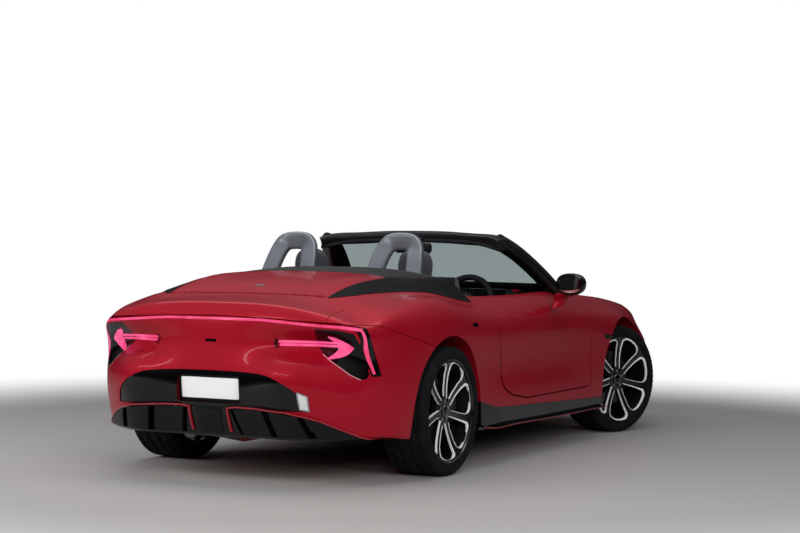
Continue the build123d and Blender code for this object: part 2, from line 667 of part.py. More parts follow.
bumper_corners = both_sides(side_prism(BUMPER_SIDE, BUMPER_CORNER_Y, FAR))
bumper_space = mirrored_prism(BUMPER_EDGE, -2 * FAR, BUMPER_SPLIT_X)
diffuser_space = box_between((-2 * FAR, -FAR, 0), (BUMPER_SPLIT_X, FAR, DIFFUSER_TOP_Z))
lip_space = box_between((-2 * FAR, -LIP_HALF, 0), (BUMPER_SPLIT_X, LIP_HALF, FAR))
rear_block = cut_region((-2 * FAR, -FAR, 0), (0, FAR, FAR)) - tub_region
write("diffuser", rear_block & diffuser_space)
rear_block = rear_block - diffuser_space
rear_bumper = rear_block & bumper_space
for corner in bumper_corners:
    rear_bumper = rear_bumper + (rear_block & corner)
write("rear_bumper", rear_bumper)
rear_block = rear_block - bumper_space - bumper_corners[0] - bumper_corners[1]
write("tail_lip", rear_block & lip_space)
split_lengthwise(rear_block - lip_space, INNER_SPLIT_Y, "rear_tub", "quarter")
front_block = cut_region((0, -FAR, 0), (NOSE_SPLIT_X, FAR, FAR)) - tub_region
split_lengthwise(front_block, FENDER_SPLIT_Y, "cowl", "fender")

nose = cut_region((NOSE_SPLIT_X, -FAR, 0), (FAR * 3, FAR, FAR))
eye_x, eye_y, eye_z = TOW_EYE
eye_axis = Plane(origin=TOW_EYE, z_dir=(1, 0, 0))
with BuildPart() as tow_eye:
    with BuildSketch(eye_axis):
        Circle(TOW_POCKET_RADIUS)
    extrude(amount=FAR)
    with BuildSketch(eye_axis):
        Circle(TOW_EYE_RADIUS)
    extrude(amount=-TOW_EYE_DEPTH)
write("front_bumper", nose - tow_eye.part)
write("tail_lamps", tail_lamps)
write("lamp_panels", lamp_panels)
write("lower_panel", lower_panel)
write("headlamps", headlamps)
write("grille", grille)

# ---------------------------------------------------------------- panels that open, and the cover
write("boot_lid", (plan_prism(BOOT_LID, PANEL_CUT_Z, FAR) & upper_skin))
write("bonnet", (plan_prism(BONNET, PANEL_CUT_Z, FAR) & upper_skin))
write("tonneau", (plan_prism(TONNEAU, PANEL_CUT_Z, FAR) & upper_skin))


left_door = (BODY & door_prism(0, DOOR_INNER_Y)) - front_corner(DOOR_CORNER)
left_door = left_door + hinge_cylinder(HINGE_PIN_RADIUS, -HINGE_PIN_LENGTH, 0)
for side, piece in zip(("left", "right"), both_sides(left_door)):
    write("door_" + side, piece)

stalk_x, stalk_y, stalk_drop, stalk_reach, stalk_rise = MIRROR_STALK
mirror_low = tuple(c - s / 2 for c, s in zip(MIRROR_CENTRE, MIRROR_SIZE))
mirror_high = tuple(c + s / 2 for c, s in zip(MIRROR_CENTRE, MIRROR_SIZE))
housing = box_between(mirror_low, mirror_high)
housing = fillet(housing.edges(), MIRROR_ROUNDING)
stalk_low = (MIRROR_CENTRE[0], DOOR_INNER_Y + stalk_y, DOOR_HINGE[2] - stalk_drop)
stalk_high = (MIRROR_CENTRE[0] + stalk_x, mirror_low[1] + stalk_reach, mirror_low[2] + stalk_rise)
stalk = box_between(stalk_low, stalk_high)
left_mirror = housing + stalk - BODY
for side, piece in zip(("left", "right"), both_sides(left_mirror)):
    write("mirror_" + side, piece)


# ---------------------------------------------------------------- windscreen
def screen_band(thickness):
    """A curved slab of a given thickness about the windscreen's middle surface."""
    half = thickness / 2
    with BuildPart() as band:
        for height, edge in ((WINDSCREEN_LOW_Z, WINDSCREEN_BASE), (WINDSCREEN_TOP_Z, WINDSCREEN_HEADER)):
            (end_x, end_y), (mid_x, mid_y) = edge
            with BuildSketch(Plane.XY.offset(height)):
                with BuildLine():
                    ThreePointArc((end_x + half, end_y), (mid_x + half, mid_y), (end_x + half, -end_y))
                    Line((end_x + half, -end_y), (end_x - half, -end_y))
                    ThreePointArc((end_x - half, -end_y), (mid_x - half, mid_y), (end_x - half, end_y))
                    Line((end_x - half, end_y), (end_x + half, end_y))
                make_face()
        loft()
    return band.part


screen_opening = mirrored_prism(SCREEN_OPENING, -FAR, FAR)
write("windscreen_frame", screen_band(FRAME_DEPTH) - screen_opening - BODY)
write("windscreen_glass", (screen_band(GLASS_THICKNESS) & screen_opening) - BODY)


# ---------------------------------------------------------------- cabin
def rounded_box(low, high, radius):
    """A box with its edges across the car rounded."""
    block = box_between(low, high)
    return fillet(block.edges().filter_by(Axis.Y), radius)


def side_extrusion(points, half_width, rounding):
    """A piece of constant width over a side profile given as x, z, with rounded corners."""
    with BuildPart() as piece:
        with BuildSketch(side_plane(half_width)):
            with BuildLine():
                Polyline(points, close=True)
            make_face()
        extrude(amount=2 * half_width)
        fillet(piece.edges().filter_by(Axis.Y), rounding)
    return piece.part


dash_low = (DASH_REAR_X, -DASH_HALF, DASH_LOW_Z)
console_low = (CONSOLE_REAR_X, -CONSOLE_HALF, CABIN_FLOOR_Z)
console_high = (DASH_REAR_X, CONSOLE_HALF, CONSOLE_TOP_Z)
write("dashboard", rounded_box(dash_low, (COWL_X, DASH_HALF, DASH_TOP_Z), DASH_ROUNDING))
write("centre_console", rounded_box(console_low, console_high, CONSOLE_ROUNDING))

seat = side_extrusion(SEAT_PROFILE, SEAT_HALF, SEAT_ROUNDING)
headrest = side_extrusion(HEADREST_PROFILE, HEADREST_HALF, SEAT_ROUNDING / 2)
for side, y in (("left", SEAT_Y), ("right", -SEAT_Y)):
    write("seat_" + side, Pos(0, y, 0) * (seat + headrest))

with BuildPart() as steering_wheel:
    Torus(STEERING_RADIUS, STEERING_GRIP)
    Cylinder(STEERING_HUB, 2 * STEERING_GRIP)
    with PolarLocations(0, 3, start_angle=-90):
        Box(STEERING_RADIUS, 2 * STEERING_GRIP, STEERING_GRIP, align=(Align.MIN, Align.CENTER, Align.CENTER))
    Cylinder(COLUMN_RADIUS, FAR / 2, align=(Align.CENTER, Align.CENTER, Align.MIN))
wheel_place = Location(STEERING_CENTRE) * Rot(0, STEERING_TILT, 0)
dash_front_cut = box_between((DASH_REAR_X, -FAR, 0), (FAR, FAR, FAR))
write("steering_wheel", (wheel_place * steering_wheel.part) - dash_front_cut)

with BuildPart() as hoops:
    for y in (SEAT_Y, -SEAT_Y):
        half = (HOOP_OUTER_Y - HOOP_INNER_Y) / 2
        with BuildLine(section_plane(HOOP_X)) as path:
            FilletPolyline(
                (y - half, HOOP_BASE_Z),
                (y - half, HOOP_TOP_Z),
                (y + half, HOOP_TOP_Z),
                (y + half, HOOP_BASE_Z),
                radius=HOOP_BEND,
            )
        with BuildSketch(Plane.XY.offset(HOOP_BASE_Z)):
            with Locations((HOOP_X, y - half)):
                Circle(HOOP_RADIUS)
        sweep(path=path.wires()[0])
write("roll_hoops", hoops.part - BODY)

write("number_plate", plate_place * Box(plate_thickness, plate_length, plate_height))
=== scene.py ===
"""Open two-seat roadster: the finished look of the car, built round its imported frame.

Every body panel is cut from one smooth skin that is drawn by a net of named lines, so highlights run
across the shut lines. Lengths in the tables are millimetres, x forward, y left, z up from the ground.
"""

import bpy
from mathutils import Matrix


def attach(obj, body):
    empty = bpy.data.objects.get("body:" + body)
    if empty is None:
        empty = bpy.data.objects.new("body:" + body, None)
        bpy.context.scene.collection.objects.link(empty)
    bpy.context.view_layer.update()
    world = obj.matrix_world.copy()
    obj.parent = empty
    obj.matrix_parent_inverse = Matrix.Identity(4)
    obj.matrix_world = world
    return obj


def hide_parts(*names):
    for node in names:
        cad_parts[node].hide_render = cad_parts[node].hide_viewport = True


bl_info = {
    "name": "Roadster",
    "version": (1, 0, 0),
    "blender": (4, 5, 0),
    "location": "3D View > Sidebar > Roadster",
    "description": "Builds the body, wheels, cabin, lamps and studio of an open two-seat car",
    "category": "Object",
}

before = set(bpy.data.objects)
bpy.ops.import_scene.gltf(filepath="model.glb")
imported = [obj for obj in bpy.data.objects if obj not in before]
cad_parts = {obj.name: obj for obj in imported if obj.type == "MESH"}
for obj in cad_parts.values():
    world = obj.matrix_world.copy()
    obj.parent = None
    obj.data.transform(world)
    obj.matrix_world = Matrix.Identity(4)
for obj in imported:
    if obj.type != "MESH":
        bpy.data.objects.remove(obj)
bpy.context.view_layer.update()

import math

import bmesh
import bpy
import numpy as np
from bpy.props import FloatVectorProperty, PointerProperty
from mathutils import Matrix, Vector
from mathutils.bvhtree import BVHTree

MM = 0.001
PER_METRE = 1000.0

# ---------------------------------------------------------------- the skin's lines
# height of the upper skin over the plan: one row for each x, one column for each distance from the middle
DECK_Y = [0, 280, 500, 600, 680, 760, 860, 960]
DECK = [
    (-2300, 915,912,888,862,836,806,764,714),
    (-2165, 947,942,917,893,868,834,794,748),
    (-2025, 963,958,936,914,888,852,812,768),
    (-1868, 988,985,975,955,930,904,866,812),
    (-1700,1035,1032,1020,992,964,942,908,856),
    (-1500,1070,1066,1055,1012,982,966,946,900),
    (-1285,1092,1088,1070,1042,1000,972,954,910),
    (-1050,1106,1102,1080,1064,1030,972,918,864),
    ( -800,1104,1100,1078,1060,1030,955,882,826),
    ( -500,1010,1005, 985, 975, 962,948,860,798),
    (    0, 975, 974, 968, 962, 955,946,860,790),
    (  500, 965, 964, 958, 952, 950,946,855,780),
    (  800, 935, 934, 930, 928, 928,922,835,760),
    ( 1100, 895, 894, 887, 888, 897,900,812,735),
    ( 1405, 850, 849, 846, 855, 874,872,790,710),
    ( 1750, 778, 777, 774, 786, 815,822,735,650),
    ( 2000, 708, 706, 705, 722, 745,740,660,570),
    ( 2200, 640, 636, 630, 630, 620,600,540,470),
]
# lines round the car, tail middle to nose middle; crest takes its height from DECK
#   crest (x, y)      upper               belt                bulge               low                 rocker
NET = [
    ((-2165,  0), (-2212,  0,862), (-2227,  0,750), (-2250,  0,635), (-2258,  0,430), (-2190,  0,250)),
    ((-2163,300), (-2208,300,857), (-2188,300,745), (-2249,300,633), (-2258,300,430), (-2190,300,250)),
    ((-2150,520), (-2194,520,845), (-2112,520,735), (-2232,540,625), (-2240,540,425), (-2175,520,250)),
    ((-2108,670), (-2146,680,832), (-2058,670,728), (-2080,720,605), (-2100,730,425), (-2060,715,255)),
    ((-2030,775), (-2047,789,817), (-2012,806,728), (-1977,832,591), (-1955,838,430), (-1936,822,262)),
    ((-1930,828), (-1945,838,832), (-1922,856,735), (-1880,874,600), (-1862,877,415), (-1850,862,255)),
    ((-1700,862), (-1700,890,858), (-1700,910,745), (-1700,917,600), (-1700,914,400), (-1700,890,235)),
    ((-1490,862), (-1490,906,884), (-1490,934,760), (-1490,940,600), (-1490,936,400), (-1490,908,225)),
    ((-1285,862), (-1285,912,886), (-1285,940,755), (-1285,944,600), (-1285,940,400), (-1285,912,220)),
    ((-1000,865), (-1000,906,850), (-1000,930,735), (-1000,926,580), (-1000,926,400), (-1000,910,215)),
    (( -700,862), ( -700,893,822), ( -700,915,730), ( -700,905,575), ( -700,915,390), ( -700,908,212)),
    (( -200,858), ( -200,884,818), ( -200,905,730), ( -200,893,575), ( -200,908,370), ( -200,903,206)),
    ((  300,856), (  300,882,815), (  300,903,725), (  300,892,570), (  300,906,360), (  300,902,203)),
    ((  750,852), (  750,884,805), (  750,910,705), (  750,903,560), (  750,910,360), (  750,903,202)),
    (( 1100,842), ( 1100,884,790), ( 1100,922,680), ( 1100,925,560), ( 1100,922,380), ( 1100,904,203)),
    (( 1405,830), ( 1405,885,770), ( 1405,932,650), ( 1405,940,540), ( 1405,934,380), ( 1405,905,205)),
    (( 1750,800), ( 1750,855,700), ( 1750,905,600), ( 1750,915,500), ( 1750,908,360), ( 1750,880,205)),
    (( 1985,720), ( 1990,775,640), ( 1995,820,560), ( 2000,835,470), ( 2000,830,350), ( 1985,800,205)),
    (( 2130,560), ( 2145,610,585), ( 2160,645,515), ( 2170,660,440), ( 2170,655,340), ( 2145,625,205)),
    (( 2205,300), ( 2225,330,560), ( 2240,350,495), ( 2255,360,425), ( 2255,360,335), ( 2225,340,205)),
    (( 2225,  0), ( 2246,  0,555), ( 2262,  0,490), ( 2277,  0,420), ( 2277,  0,330), ( 2246,  0,205)),
]
# edge radius where the upper skin meets the sides, for each row of NET
CREST_RADIUS = [12, 12, 12, 12, 14, 24, 40, 46, 46, 46, 46, 46, 46, 46, 46, 46, 50, 60, 60, 60, 60]
WALL_ROWS = 34
EDGE_ROWS = 6
DECK_ROWS = 34
FLOOR_ROWS = 5
STEP = 17.0  # between columns, about
TAIL_CORNER_ROW = 4  # of NET; more columns go round it
CORNER_REACH, CORNER_COLUMNS = 260, 24
DECK_CENTRE_INSET = (260, 200)  # how far inside the tail's and the nose's middle the top's centre line ends
DECK_CROWDING = 1.15  # rows of the top crowd toward the edge
FLOOR_Z = 190.0


def spline(knots, values, at):
    """Natural cubic spline through values at knots."""
    knots, values, at = (np.asarray(a, float) for a in (knots, values, at))
    n, h = len(knots), np.diff(knots)
    system = np.zeros((n, n))
    system[0, 0] = system[-1, -1] = 1
    i = np.arange(1, n - 1)
    system[i, i - 1], system[i, i], system[i, i + 1] = h[:-1], 2 * (h[:-1] + h[1:]), h[1:]
    flat = values.reshape(n, -1)
    slopes = np.diff(flat, axis=0) / h[:, None]
    right = np.zeros_like(flat)
    right[1:-1] = 6 * np.diff(slopes, axis=0)
    bend = np.linalg.solve(system, right)
    k = np.clip(np.searchsorted(knots, at.ravel()) - 1, 0, n - 2)
    t, hk = (at.ravel() - knots[k])[:, None], h[k][:, None]
    out = flat[k] + t * ((flat[k + 1] - flat[k]) / hk - hk * (2 * bend[k] + bend[k + 1]) / 6)
    out = out + t**2 * bend[k] / 2 + t**3 * (bend[k + 1] - bend[k]) / (6 * hk)
    return out.reshape(at.shape + values.shape[1:])


def deck_height(x, y):
    """Height of the upper skin in mm."""
    table = np.array(DECK, float)
    x, y = np.broadcast_arrays(np.asarray(x, float), np.abs(np.asarray(y, float)))
    rows = spline(table[:, 0], table[:, 1:], x.ravel())
    rows = np.concatenate([rows[:, 1:2], rows], 1)
    columns = np.array([-DECK_Y[1]] + DECK_Y, float)
    weights = spline(columns, np.eye(len(columns)), y.ravel())
    return (rows * weights).sum(1).reshape(x.shape)


def net_lines():
    """The net's lines at even steps round half the car, and the radius of each column's edge."""
    net = np.array([[(p[0], p[1], p[2] if len(p) > 2 else 0) for p in row] for row in NET], float)
    along = np.r_[0, np.cumsum(np.linalg.norm(np.diff(net[:, 2], axis=0), axis=1))]
    mirrored = np.concatenate([net[1:2] * [1, -1, 1], net, net[-2:-1] * [1, -1, 1]])
    knots = np.r_[-along[1], along, 2 * along[-1] - along[-2]]
    fine = np.linspace(0, along[-1], int(along[-1] / STEP))
    extra = along[TAIL_CORNER_ROW] + np.linspace(-CORNER_REACH, CORNER_REACH, CORNER_COLUMNS)
    at = np.unique(np.round(np.r_[fine, extra], 3))
    lines = spline(knots, mirrored, at)
    lines[:, 0, 2] = deck_height(lines[:, 0, 0], lines[:, 0, 1])
    lines[[0, -1], :, 1] = 0
    return lines, np.interp(at, along, CREST_RADIUS)


def skin_grid():
    """Half of the skin as points: a column for each step round the car, middle of the top to middle of the floor."""
    lines, radii = net_lines()
    count = len(lines)
    ends = [lines[0, 0, 0] + DECK_CENTRE_INSET[0], lines[-1, 0, 0] - DECK_CENTRE_INSET[1]]
    centre_x = np.interp(np.arange(count), [0, count - 1], ends)
    columns = []
    for line, radius, middle in zip(lines, radii, centre_x):
        down = np.r_[0, np.cumsum(np.linalg.norm(np.diff(line, axis=0), axis=1))]
        wall = spline(down, line, np.linspace(radius, down[-1], WALL_ROWS))
        crest = line[0]
        span = math.hypot(crest[0] - middle, crest[1])
        reach = radius + (span - radius) * np.linspace(0, 1, DECK_ROWS) ** DECK_CROWDING
        share = reach / span
        top = np.stack([crest[0] + (middle - crest[0]) * share, crest[1] * (1 - share)], 1)
        top = np.column_stack([top, deck_height(top[:, 0], top[:, 1])])
        t = np.linspace(0, 1, EDGE_ROWS + 2)[1:-1, None]
        edge = (1 - t) ** 2 * top[0] + 2 * t * (1 - t) * crest + t**2 * wall[0]
        share = np.linspace(0, 1, FLOOR_ROWS + 1)[1:, None]
        floor = line[-1] + (np.array([middle, 0, FLOOR_Z]) - line[-1]) * share
        columns.append(np.concatenate([top[::-1], edge, wall, floor]))
    return np.array(columns)


def skin_mesh(name="skin"):
    """The closed skin as a mesh in metres."""
    half = skin_grid()
    other = half[1:-1][::-1] * [1, -1, 1]
    loop = np.concatenate([half, other])
    columns, rows = loop.shape[:2]
    index = np.arange(columns * rows).reshape(columns, rows)
    for i in range(1, len(half) - 1):
        index[columns - i, 0] = index[i, 0]
        index[columns - i, -1] = index[i, -1]
    faces = []
    for i in range(columns):
        j = (i + 1) % columns
        for k in range(rows - 1):
            quad = []
            for v in (index[i, k], index[i, k + 1], index[j, k + 1], index[j, k]):
                if v not in quad:
                    quad.append(int(v))
            if len(quad) > 2:
                faces.append(quad)
    used = sorted({v for face in faces for v in face})
    renumber = {v: n for n, v in enumerate(used)}
    points = loop.reshape(-1, 3)[used] * MM
    return new_mesh(name, points, [[renumber[v] for v in face] for face in faces])


def new_mesh(name, points, faces):
    """A mesh from points in metres, with its faces turned outward."""
    mesh = bpy.data.meshes.new(name)
    mesh.from_pydata([tuple(p) for p in points], [], faces)
    edit = bmesh.new()
    edit.from_mesh(mesh)
    bmesh.ops.recalc_face_normals(edit, faces=edit.faces)
    edit.to_mesh(mesh)
    edit.free()
    return mesh


# ---------------------------------------------------------------- mesh and boolean helpers
def prism(outline, low, high, axis="z"):
    """A closed prism in metres over an outline in mm; along x it takes (y, z), along y (x, z), along z (x, y)."""
    order = {"x": (2, 0, 1), "y": (0, 2, 1), "z": (0, 1, 2)}[axis]
    points = [(a, b, h) for h in (low, high) for a, b in outline]
    return between("prism", [tuple(p[k] for k in order) for p in points])


def between(name, points):
    """A closed mesh between two rings of equal length, given one after the other in mm."""
    count = len(points) // 2
    faces = [list(range(count)), list(range(count, 2 * count))]
    faces += [[i, (i + 1) % count, (i + 1) % count + count, i + count] for i in range(count)]
    return new_mesh(name, [tuple(c * MM for c in p) for p in points], faces)


def tube(name, points, count, closed=False):
    """A mesh through rings of count points in metres; it is capped at both ends unless it is closed on itself."""
    rings = len(points) // count
    faces = []
    for i in range(rings if closed else rings - 1):
        a, b = i * count, (i + 1) % rings * count
        faces += [[a + k, a + (k + 1) % count, b + (k + 1) % count, b + k] for k in range(count)]
    if not closed:
        last = (rings - 1) * count
        faces += [list(range(count))[::-1], [last + k for k in range(count)]]
    return new_mesh(name, points, faces)


def side_span(sign, near, far):
    """Two distances from the middle on one side of the car, in rising order."""
    return sorted((sign * near, sign * far))


def mirrored(outline):
    """A half outline given as (along, across) pairs, closed by its mirror image across the car."""
    return [tuple(p) for p in outline] + [(a, -b) for a, b in reversed(outline)]


def joined(*meshes):
    """One mesh holding several closed ones that don't touch."""
    edit = bmesh.new()
    for mesh in meshes:
        edit.from_mesh(mesh)
    out = bpy.data.meshes.new("joined")
    edit.to_mesh(out)
    edit.free()
    return out


def block(low, high):
    """A box between two corners in mm."""
    (x0, y0, z0), (x1, y1, z1) = low, high
    return prism([(x0, y0), (x1, y0), (x1, y1), (x0, y1)], z0, z1)


def drum(x, z, radius, y0, y1, sides=96):
    """A cylinder across the car in mm."""
    angles = [2 * math.pi * i / sides for i in range(sides)]
    return prism([(x + radius * math.cos(a), z + radius * math.sin(a)) for a in angles], y0, y1, "y")


def combine(mesh, *steps):
    """A mesh after boolean steps, each ("cut" | "keep" | "add", mesh)."""
    host = bpy.data.objects.new("host", mesh)
    bpy.context.scene.collection.objects.link(host)
    others = []
    for word, tool in steps:
        other = bpy.data.objects.new("tool", tool)
        bpy.context.scene.collection.objects.link(other)
        others.append(other)
        modifier = host.modifiers.new(word, "BOOLEAN")
        modifier.operation = {"cut": "DIFFERENCE", "keep": "INTERSECT", "add": "UNION"}[word]
        modifier.solver = "MANIFOLD"
        modifier.object = other
    graph = bpy.context.evaluated_depsgraph_get()
    out = bpy.data.meshes.new_from_object(host.evaluated_get(graph))
    for thing in [host] + others:
        bpy.data.objects.remove(thing)
    out.materials.clear()
    return out


class Skin:
    """The car's skin, or the same skin moved inward, from which smooth normals can be read."""

    def __init__(self, mesh):
        """Keep the mesh, and its triangles in a tree."""
        self.mesh = mesh
        edit = bmesh.new()
        edit.from_mesh(mesh)
        bmesh.ops.triangulate(edit, faces=edit.faces)
        edit.normal_update()
        edit.verts.ensure_lookup_table()
        self.points = np.array([v.co for v in edit.verts])
        self.normals = np.array([v.normal for v in edit.verts])
        self.corners = np.array([[v.index for v in f.verts] for f in edit.faces])
        self.tree = BVHTree.FromBMesh(edit)
        edit.free()

    def inward(self, depth):
        """The skin moved inward by a depth in mm."""
        mesh = self.mesh.copy()
        normals = np.zeros(len(mesh.vertices) * 3, np.float32)
        points = normals.copy()
        mesh.vertex_normals.foreach_get("vector", normals)
        mesh.vertices.foreach_get("co", points)
        mesh.vertices.foreach_set("co", points - normals * depth * MM)
        mesh.update()
        return Skin(mesh)

    def smooth_normal(self, point):
        """(distance, smooth normal) of the skin nearest to a point."""
        where, _normal, face, distance = self.tree.find_nearest(point)
        a, b, c = self.points[self.corners[face]]
        v0, v1, v2 = b - a, c - a, np.array(where) - a
        d00, d01, d11, d20, d21 = v0 @ v0, v0 @ v1, v1 @ v1, v2 @ v0, v2 @ v1
        scale = d00 * d11 - d01 * d01 or 1
        v, w = (d11 * d20 - d01 * d21) / scale, (d00 * d21 - d01 * d20) / scale
        normal = (1 - v - w) * self.normals[self.corners[face, 0]]
        normal = normal + v * self.normals[self.corners[face, 1]] + w * self.normals[self.corners[face, 2]]
        return distance, normal / np.linalg.norm(normal)


def piece(name, mesh, materials, body="body", replaces=(), slot=None, smooth=None):
    """Put a finished mesh into the scene as a piece that rides on a body; smooth is an angle in degrees."""
    mesh.name = name
    if not isinstance(materials, (list, tuple)):
        materials = [materials]
    mesh.materials.clear()
    for material in materials:
        mesh.materials.append(material)
    thing = bpy.data.objects.new(name, mesh)
    bpy.context.scene.collection.objects.link(thing)
    if smooth is not None:
        chosen = {"object": thing, "active_object": thing, "selected_editable_objects": [thing]}
        with bpy.context.temp_override(**chosen):
            bpy.ops.object.shade_smooth_by_angle(angle=math.radians(smooth))
    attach(thing, body)
    if replaces:
        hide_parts(*replaces)
    return thing


WELD = 1e-5  # metres
ON_SKIN = 0.7  # a point this near to the skin, in mm, lies on it
FACING = 0.62  # least cosine between a face that lies on the skin and the skin


def panel(name, mesh, depths, keys, **how):
    """A piece cut from the skin.

    Faces on a skin at one of the depths take the first finish and the skin's smooth normals, cut faces the second.
    """
    skins = [skin(depth) for depth in depths]
    mesh.name = name
    weld = bmesh.new()
    weld.from_mesh(mesh)
    bmesh.ops.remove_doubles(weld, verts=weld.verts, dist=WELD)
    bmesh.ops.dissolve_degenerate(weld, edges=weld.edges, dist=WELD)
    weld.to_mesh(mesh)
    weld.free()
    near = [None] * len(mesh.vertices)
    for i, vertex in enumerate(mesh.vertices):
        for surface in skins:
            distance, normal = surface.smooth_normal(vertex.co)
            if distance < ON_SKIN * MM:
                near[i] = Vector(normal)
                break
    count = len(mesh.loops)
    normals = [Vector((0, 0, 1))] * count
    for face in mesh.polygons:
        on_skin = all(near[v] is not None for v in face.vertices)
        on_skin = on_skin and all(near[v].dot(face.normal) > FACING for v in face.vertices)
        face.material_index = 0 if on_skin else 1
        face.use_smooth = True
        for loop in face.loop_indices:
            vertex = mesh.loops[loop].vertex_index
            normals[loop] = near[vertex] if on_skin else face.normal
    mesh.normals_split_custom_set([tuple(n) for n in normals])
    return piece(name, mesh, [F[key] for key in keys], **how)


# ---------------------------------------------------------------- finishes
def linear(text):
    """The linear colour of an sRGB hex value."""
    values = [int(text[i : i + 2], 16) / 255 for i in (1, 3, 5)]
    return [v / 12.92 if v <= 0.04045 else ((v + 0.055) / 1.055) ** 2.4 for v in values] + [1.0]


def add(material, kind, links=None, **settings):
    """Add a node, set its sockets or properties by name, and link its inputs from (node, output) pairs."""
    tree = material.node_tree
    node = tree.nodes.new(kind)
    for key, value in settings.items():
        if hasattr(node, key) and key not in node.inputs:
            setattr(node, key, value)
        else:
            spaced = key.replace("_", " ")
            node.inputs[spaced if spaced in node.inputs else key].default_value = value
    for socket, (source, output) in (links or {}).items():
        tree.links.new(source.outputs[output], node.inputs[socket])
    return node


def finish(name, colour, roughness=0.5, metallic=0.0, **shader):
    """A material with one shader; shader holds more of its sockets by name."""
    material = bpy.data.materials.new(name)
    material.use_nodes = True
    node = material.node_tree.nodes["Principled BSDF"]
    node.inputs["Base Color"].default_value = linear(colour)
    node.inputs["Roughness"].default_value = roughness
    node.inputs["Metallic"].default_value = metallic
    for key, value in shader.items():
        node.inputs[key.replace("_", " ")].default_value = value
    return material


def link(material, source, output, socket):
    """Link a node into the material's shader."""
    material.node_tree.links.new(source.outputs[output], material.node_tree.nodes["Principled BSDF"].inputs[socket])


def grain(material, size_mm, height_mm, strength=1.0, kind="ShaderNodeTexNoise", detail=3.0):
    """Give a material a fine relief whose marks are size_mm apart and height_mm deep."""
    place = add(material, "ShaderNodeTexCoord")
    texture = add(material, kind, {"Vector": (place, "Object")}, Scale=PER_METRE / size_mm)
    if "Detail" in texture.inputs:
        texture.inputs["Detail"].default_value = detail
    output = "Distance" if "Distance" in texture.outputs else ("Fac" if "Fac" in texture.outputs else 0)
    bump = add(material, "ShaderNodeBump", {"Height": (texture, output)}, Strength=strength, Distance=height_mm * MM)
    link(material, bump, "Normal", "Normal")
    return texture


def two_tone(material, source, dark, light, low, high):
    """A colour ramp from dark at low to light at high, driven by a (node, output) pair."""
    ramp = add(material, "ShaderNodeValToRGB", {"Fac": source})
    set_ramp(ramp, dark, light, low, high)
    return ramp


def set_ramp(ramp, dark, light, low, high):
    """Give a ramp node its two colours and their places."""
    for element, place, colour in zip(ramp.color_ramp.elements, (low, high), (dark, light)):
        element.position = place
        element.color = linear(colour)


def shade(material, texture, output, dark, light, low=0.3, high=0.7):
    """Colour a material between two colours by a texture."""
    link(material, two_tone(material, (texture, output), dark, light, low, high), "Color", "Base Color")


def vary(material, size_mm, low, high):
    """Let a material's roughness wander between two values over patches of size_mm."""
    place = add(material, "ShaderNodeTexCoord")
    texture = add(material, "ShaderNodeTexNoise", {"Vector": (place, "Object")}, Scale=PER_METRE / size_mm)
    spread = add(material, "ShaderNodeMapRange", {"Value": (texture, "Fac")}, To_Min=low, To_Max=high)
    link(material, spread, "Result", "Roughness")


def make_finishes(paint_colour):
    """Every finish of the car, by name."""
    made = {}
    # candy red over metallic flakes, clear-coated: deep colour, sharp gloss, soft spread highlight underneath
    paint = finish(
        "candy_red_metallic_paint", "#A40A22", 0.45, 0.45,
        Coat_Weight=0.4, Coat_Roughness=0.04, Coat_IOR=1.36, Specular_IOR_Level=0.25,
    )
    paint.node_tree.nodes["Principled BSDF"].inputs["Base Color"].default_value = (*paint_colour, 1)
    place = add(paint, "ShaderNodeTexCoord")
    flakes = add(paint, "ShaderNodeTexVoronoi", {"Vector": (place, "Object")}, Scale=PER_METRE / 1.2)
    tint = add(paint, "ShaderNodeMapRange", {"Value": (flakes, "Color")}, To_Min=0.38, To_Max=0.52)
    link(paint, tint, "Result", "Roughness")
    made["paint"] = paint
    make_plain_finishes(made)
    make_lamp_finishes(made)
    make_glass_finish(made)
    return made


def make_lamp_finishes(made):
    """Finishes of the lamps and the lenses."""
    # lamp behind red acrylic, lit: saturated pink-red that fades a little in patches
    for key, colour, dim in (("lamp_red", "#F2558C", "#D63766"), ("arrow_red", "#FA6099", "#E03A74")):
        lamp = finish(key + "_lit_acrylic", "#5A0A18", 0.25, 0.0, IOR=1.49)
        place = add(lamp, "ShaderNodeTexCoord")
        cloud = add(lamp, "ShaderNodeTexNoise", {"Vector": (place, "Object")}, Scale=9.0)
        link(lamp, two_tone(lamp, (cloud, "Fac"), dim, colour, 0.35, 0.6), "Color", "Emission Color")
        lamp.node_tree.nodes["Principled BSDF"].inputs["Emission Strength"].default_value = 1.0
        made[key] = lamp
    # smoked polycarbonate lens: black depth with a hint of the red body at its inner edge
    smoked = finish(
        "smoked_polycarbonate_lens", "#060304", 0.08, 0.0,
        IOR=1.4, Coat_Weight=0.2, Coat_Roughness=0.02, Specular_IOR_Level=0.3,
    )
    place = add(smoked, "ShaderNodeTexCoord")
    parts = add(smoked, "ShaderNodeSeparateXYZ", {"Vector": (place, "Object")})
    out = add(smoked, "ShaderNodeMath", {0: (parts, "Y")}, operation="ABSOLUTE")
    link(smoked, two_tone(smoked, (out, 0), "#3A0A12", "#060304", 0.6, 0.67), "Color", "Base Color")
    made["smoked"] = smoked


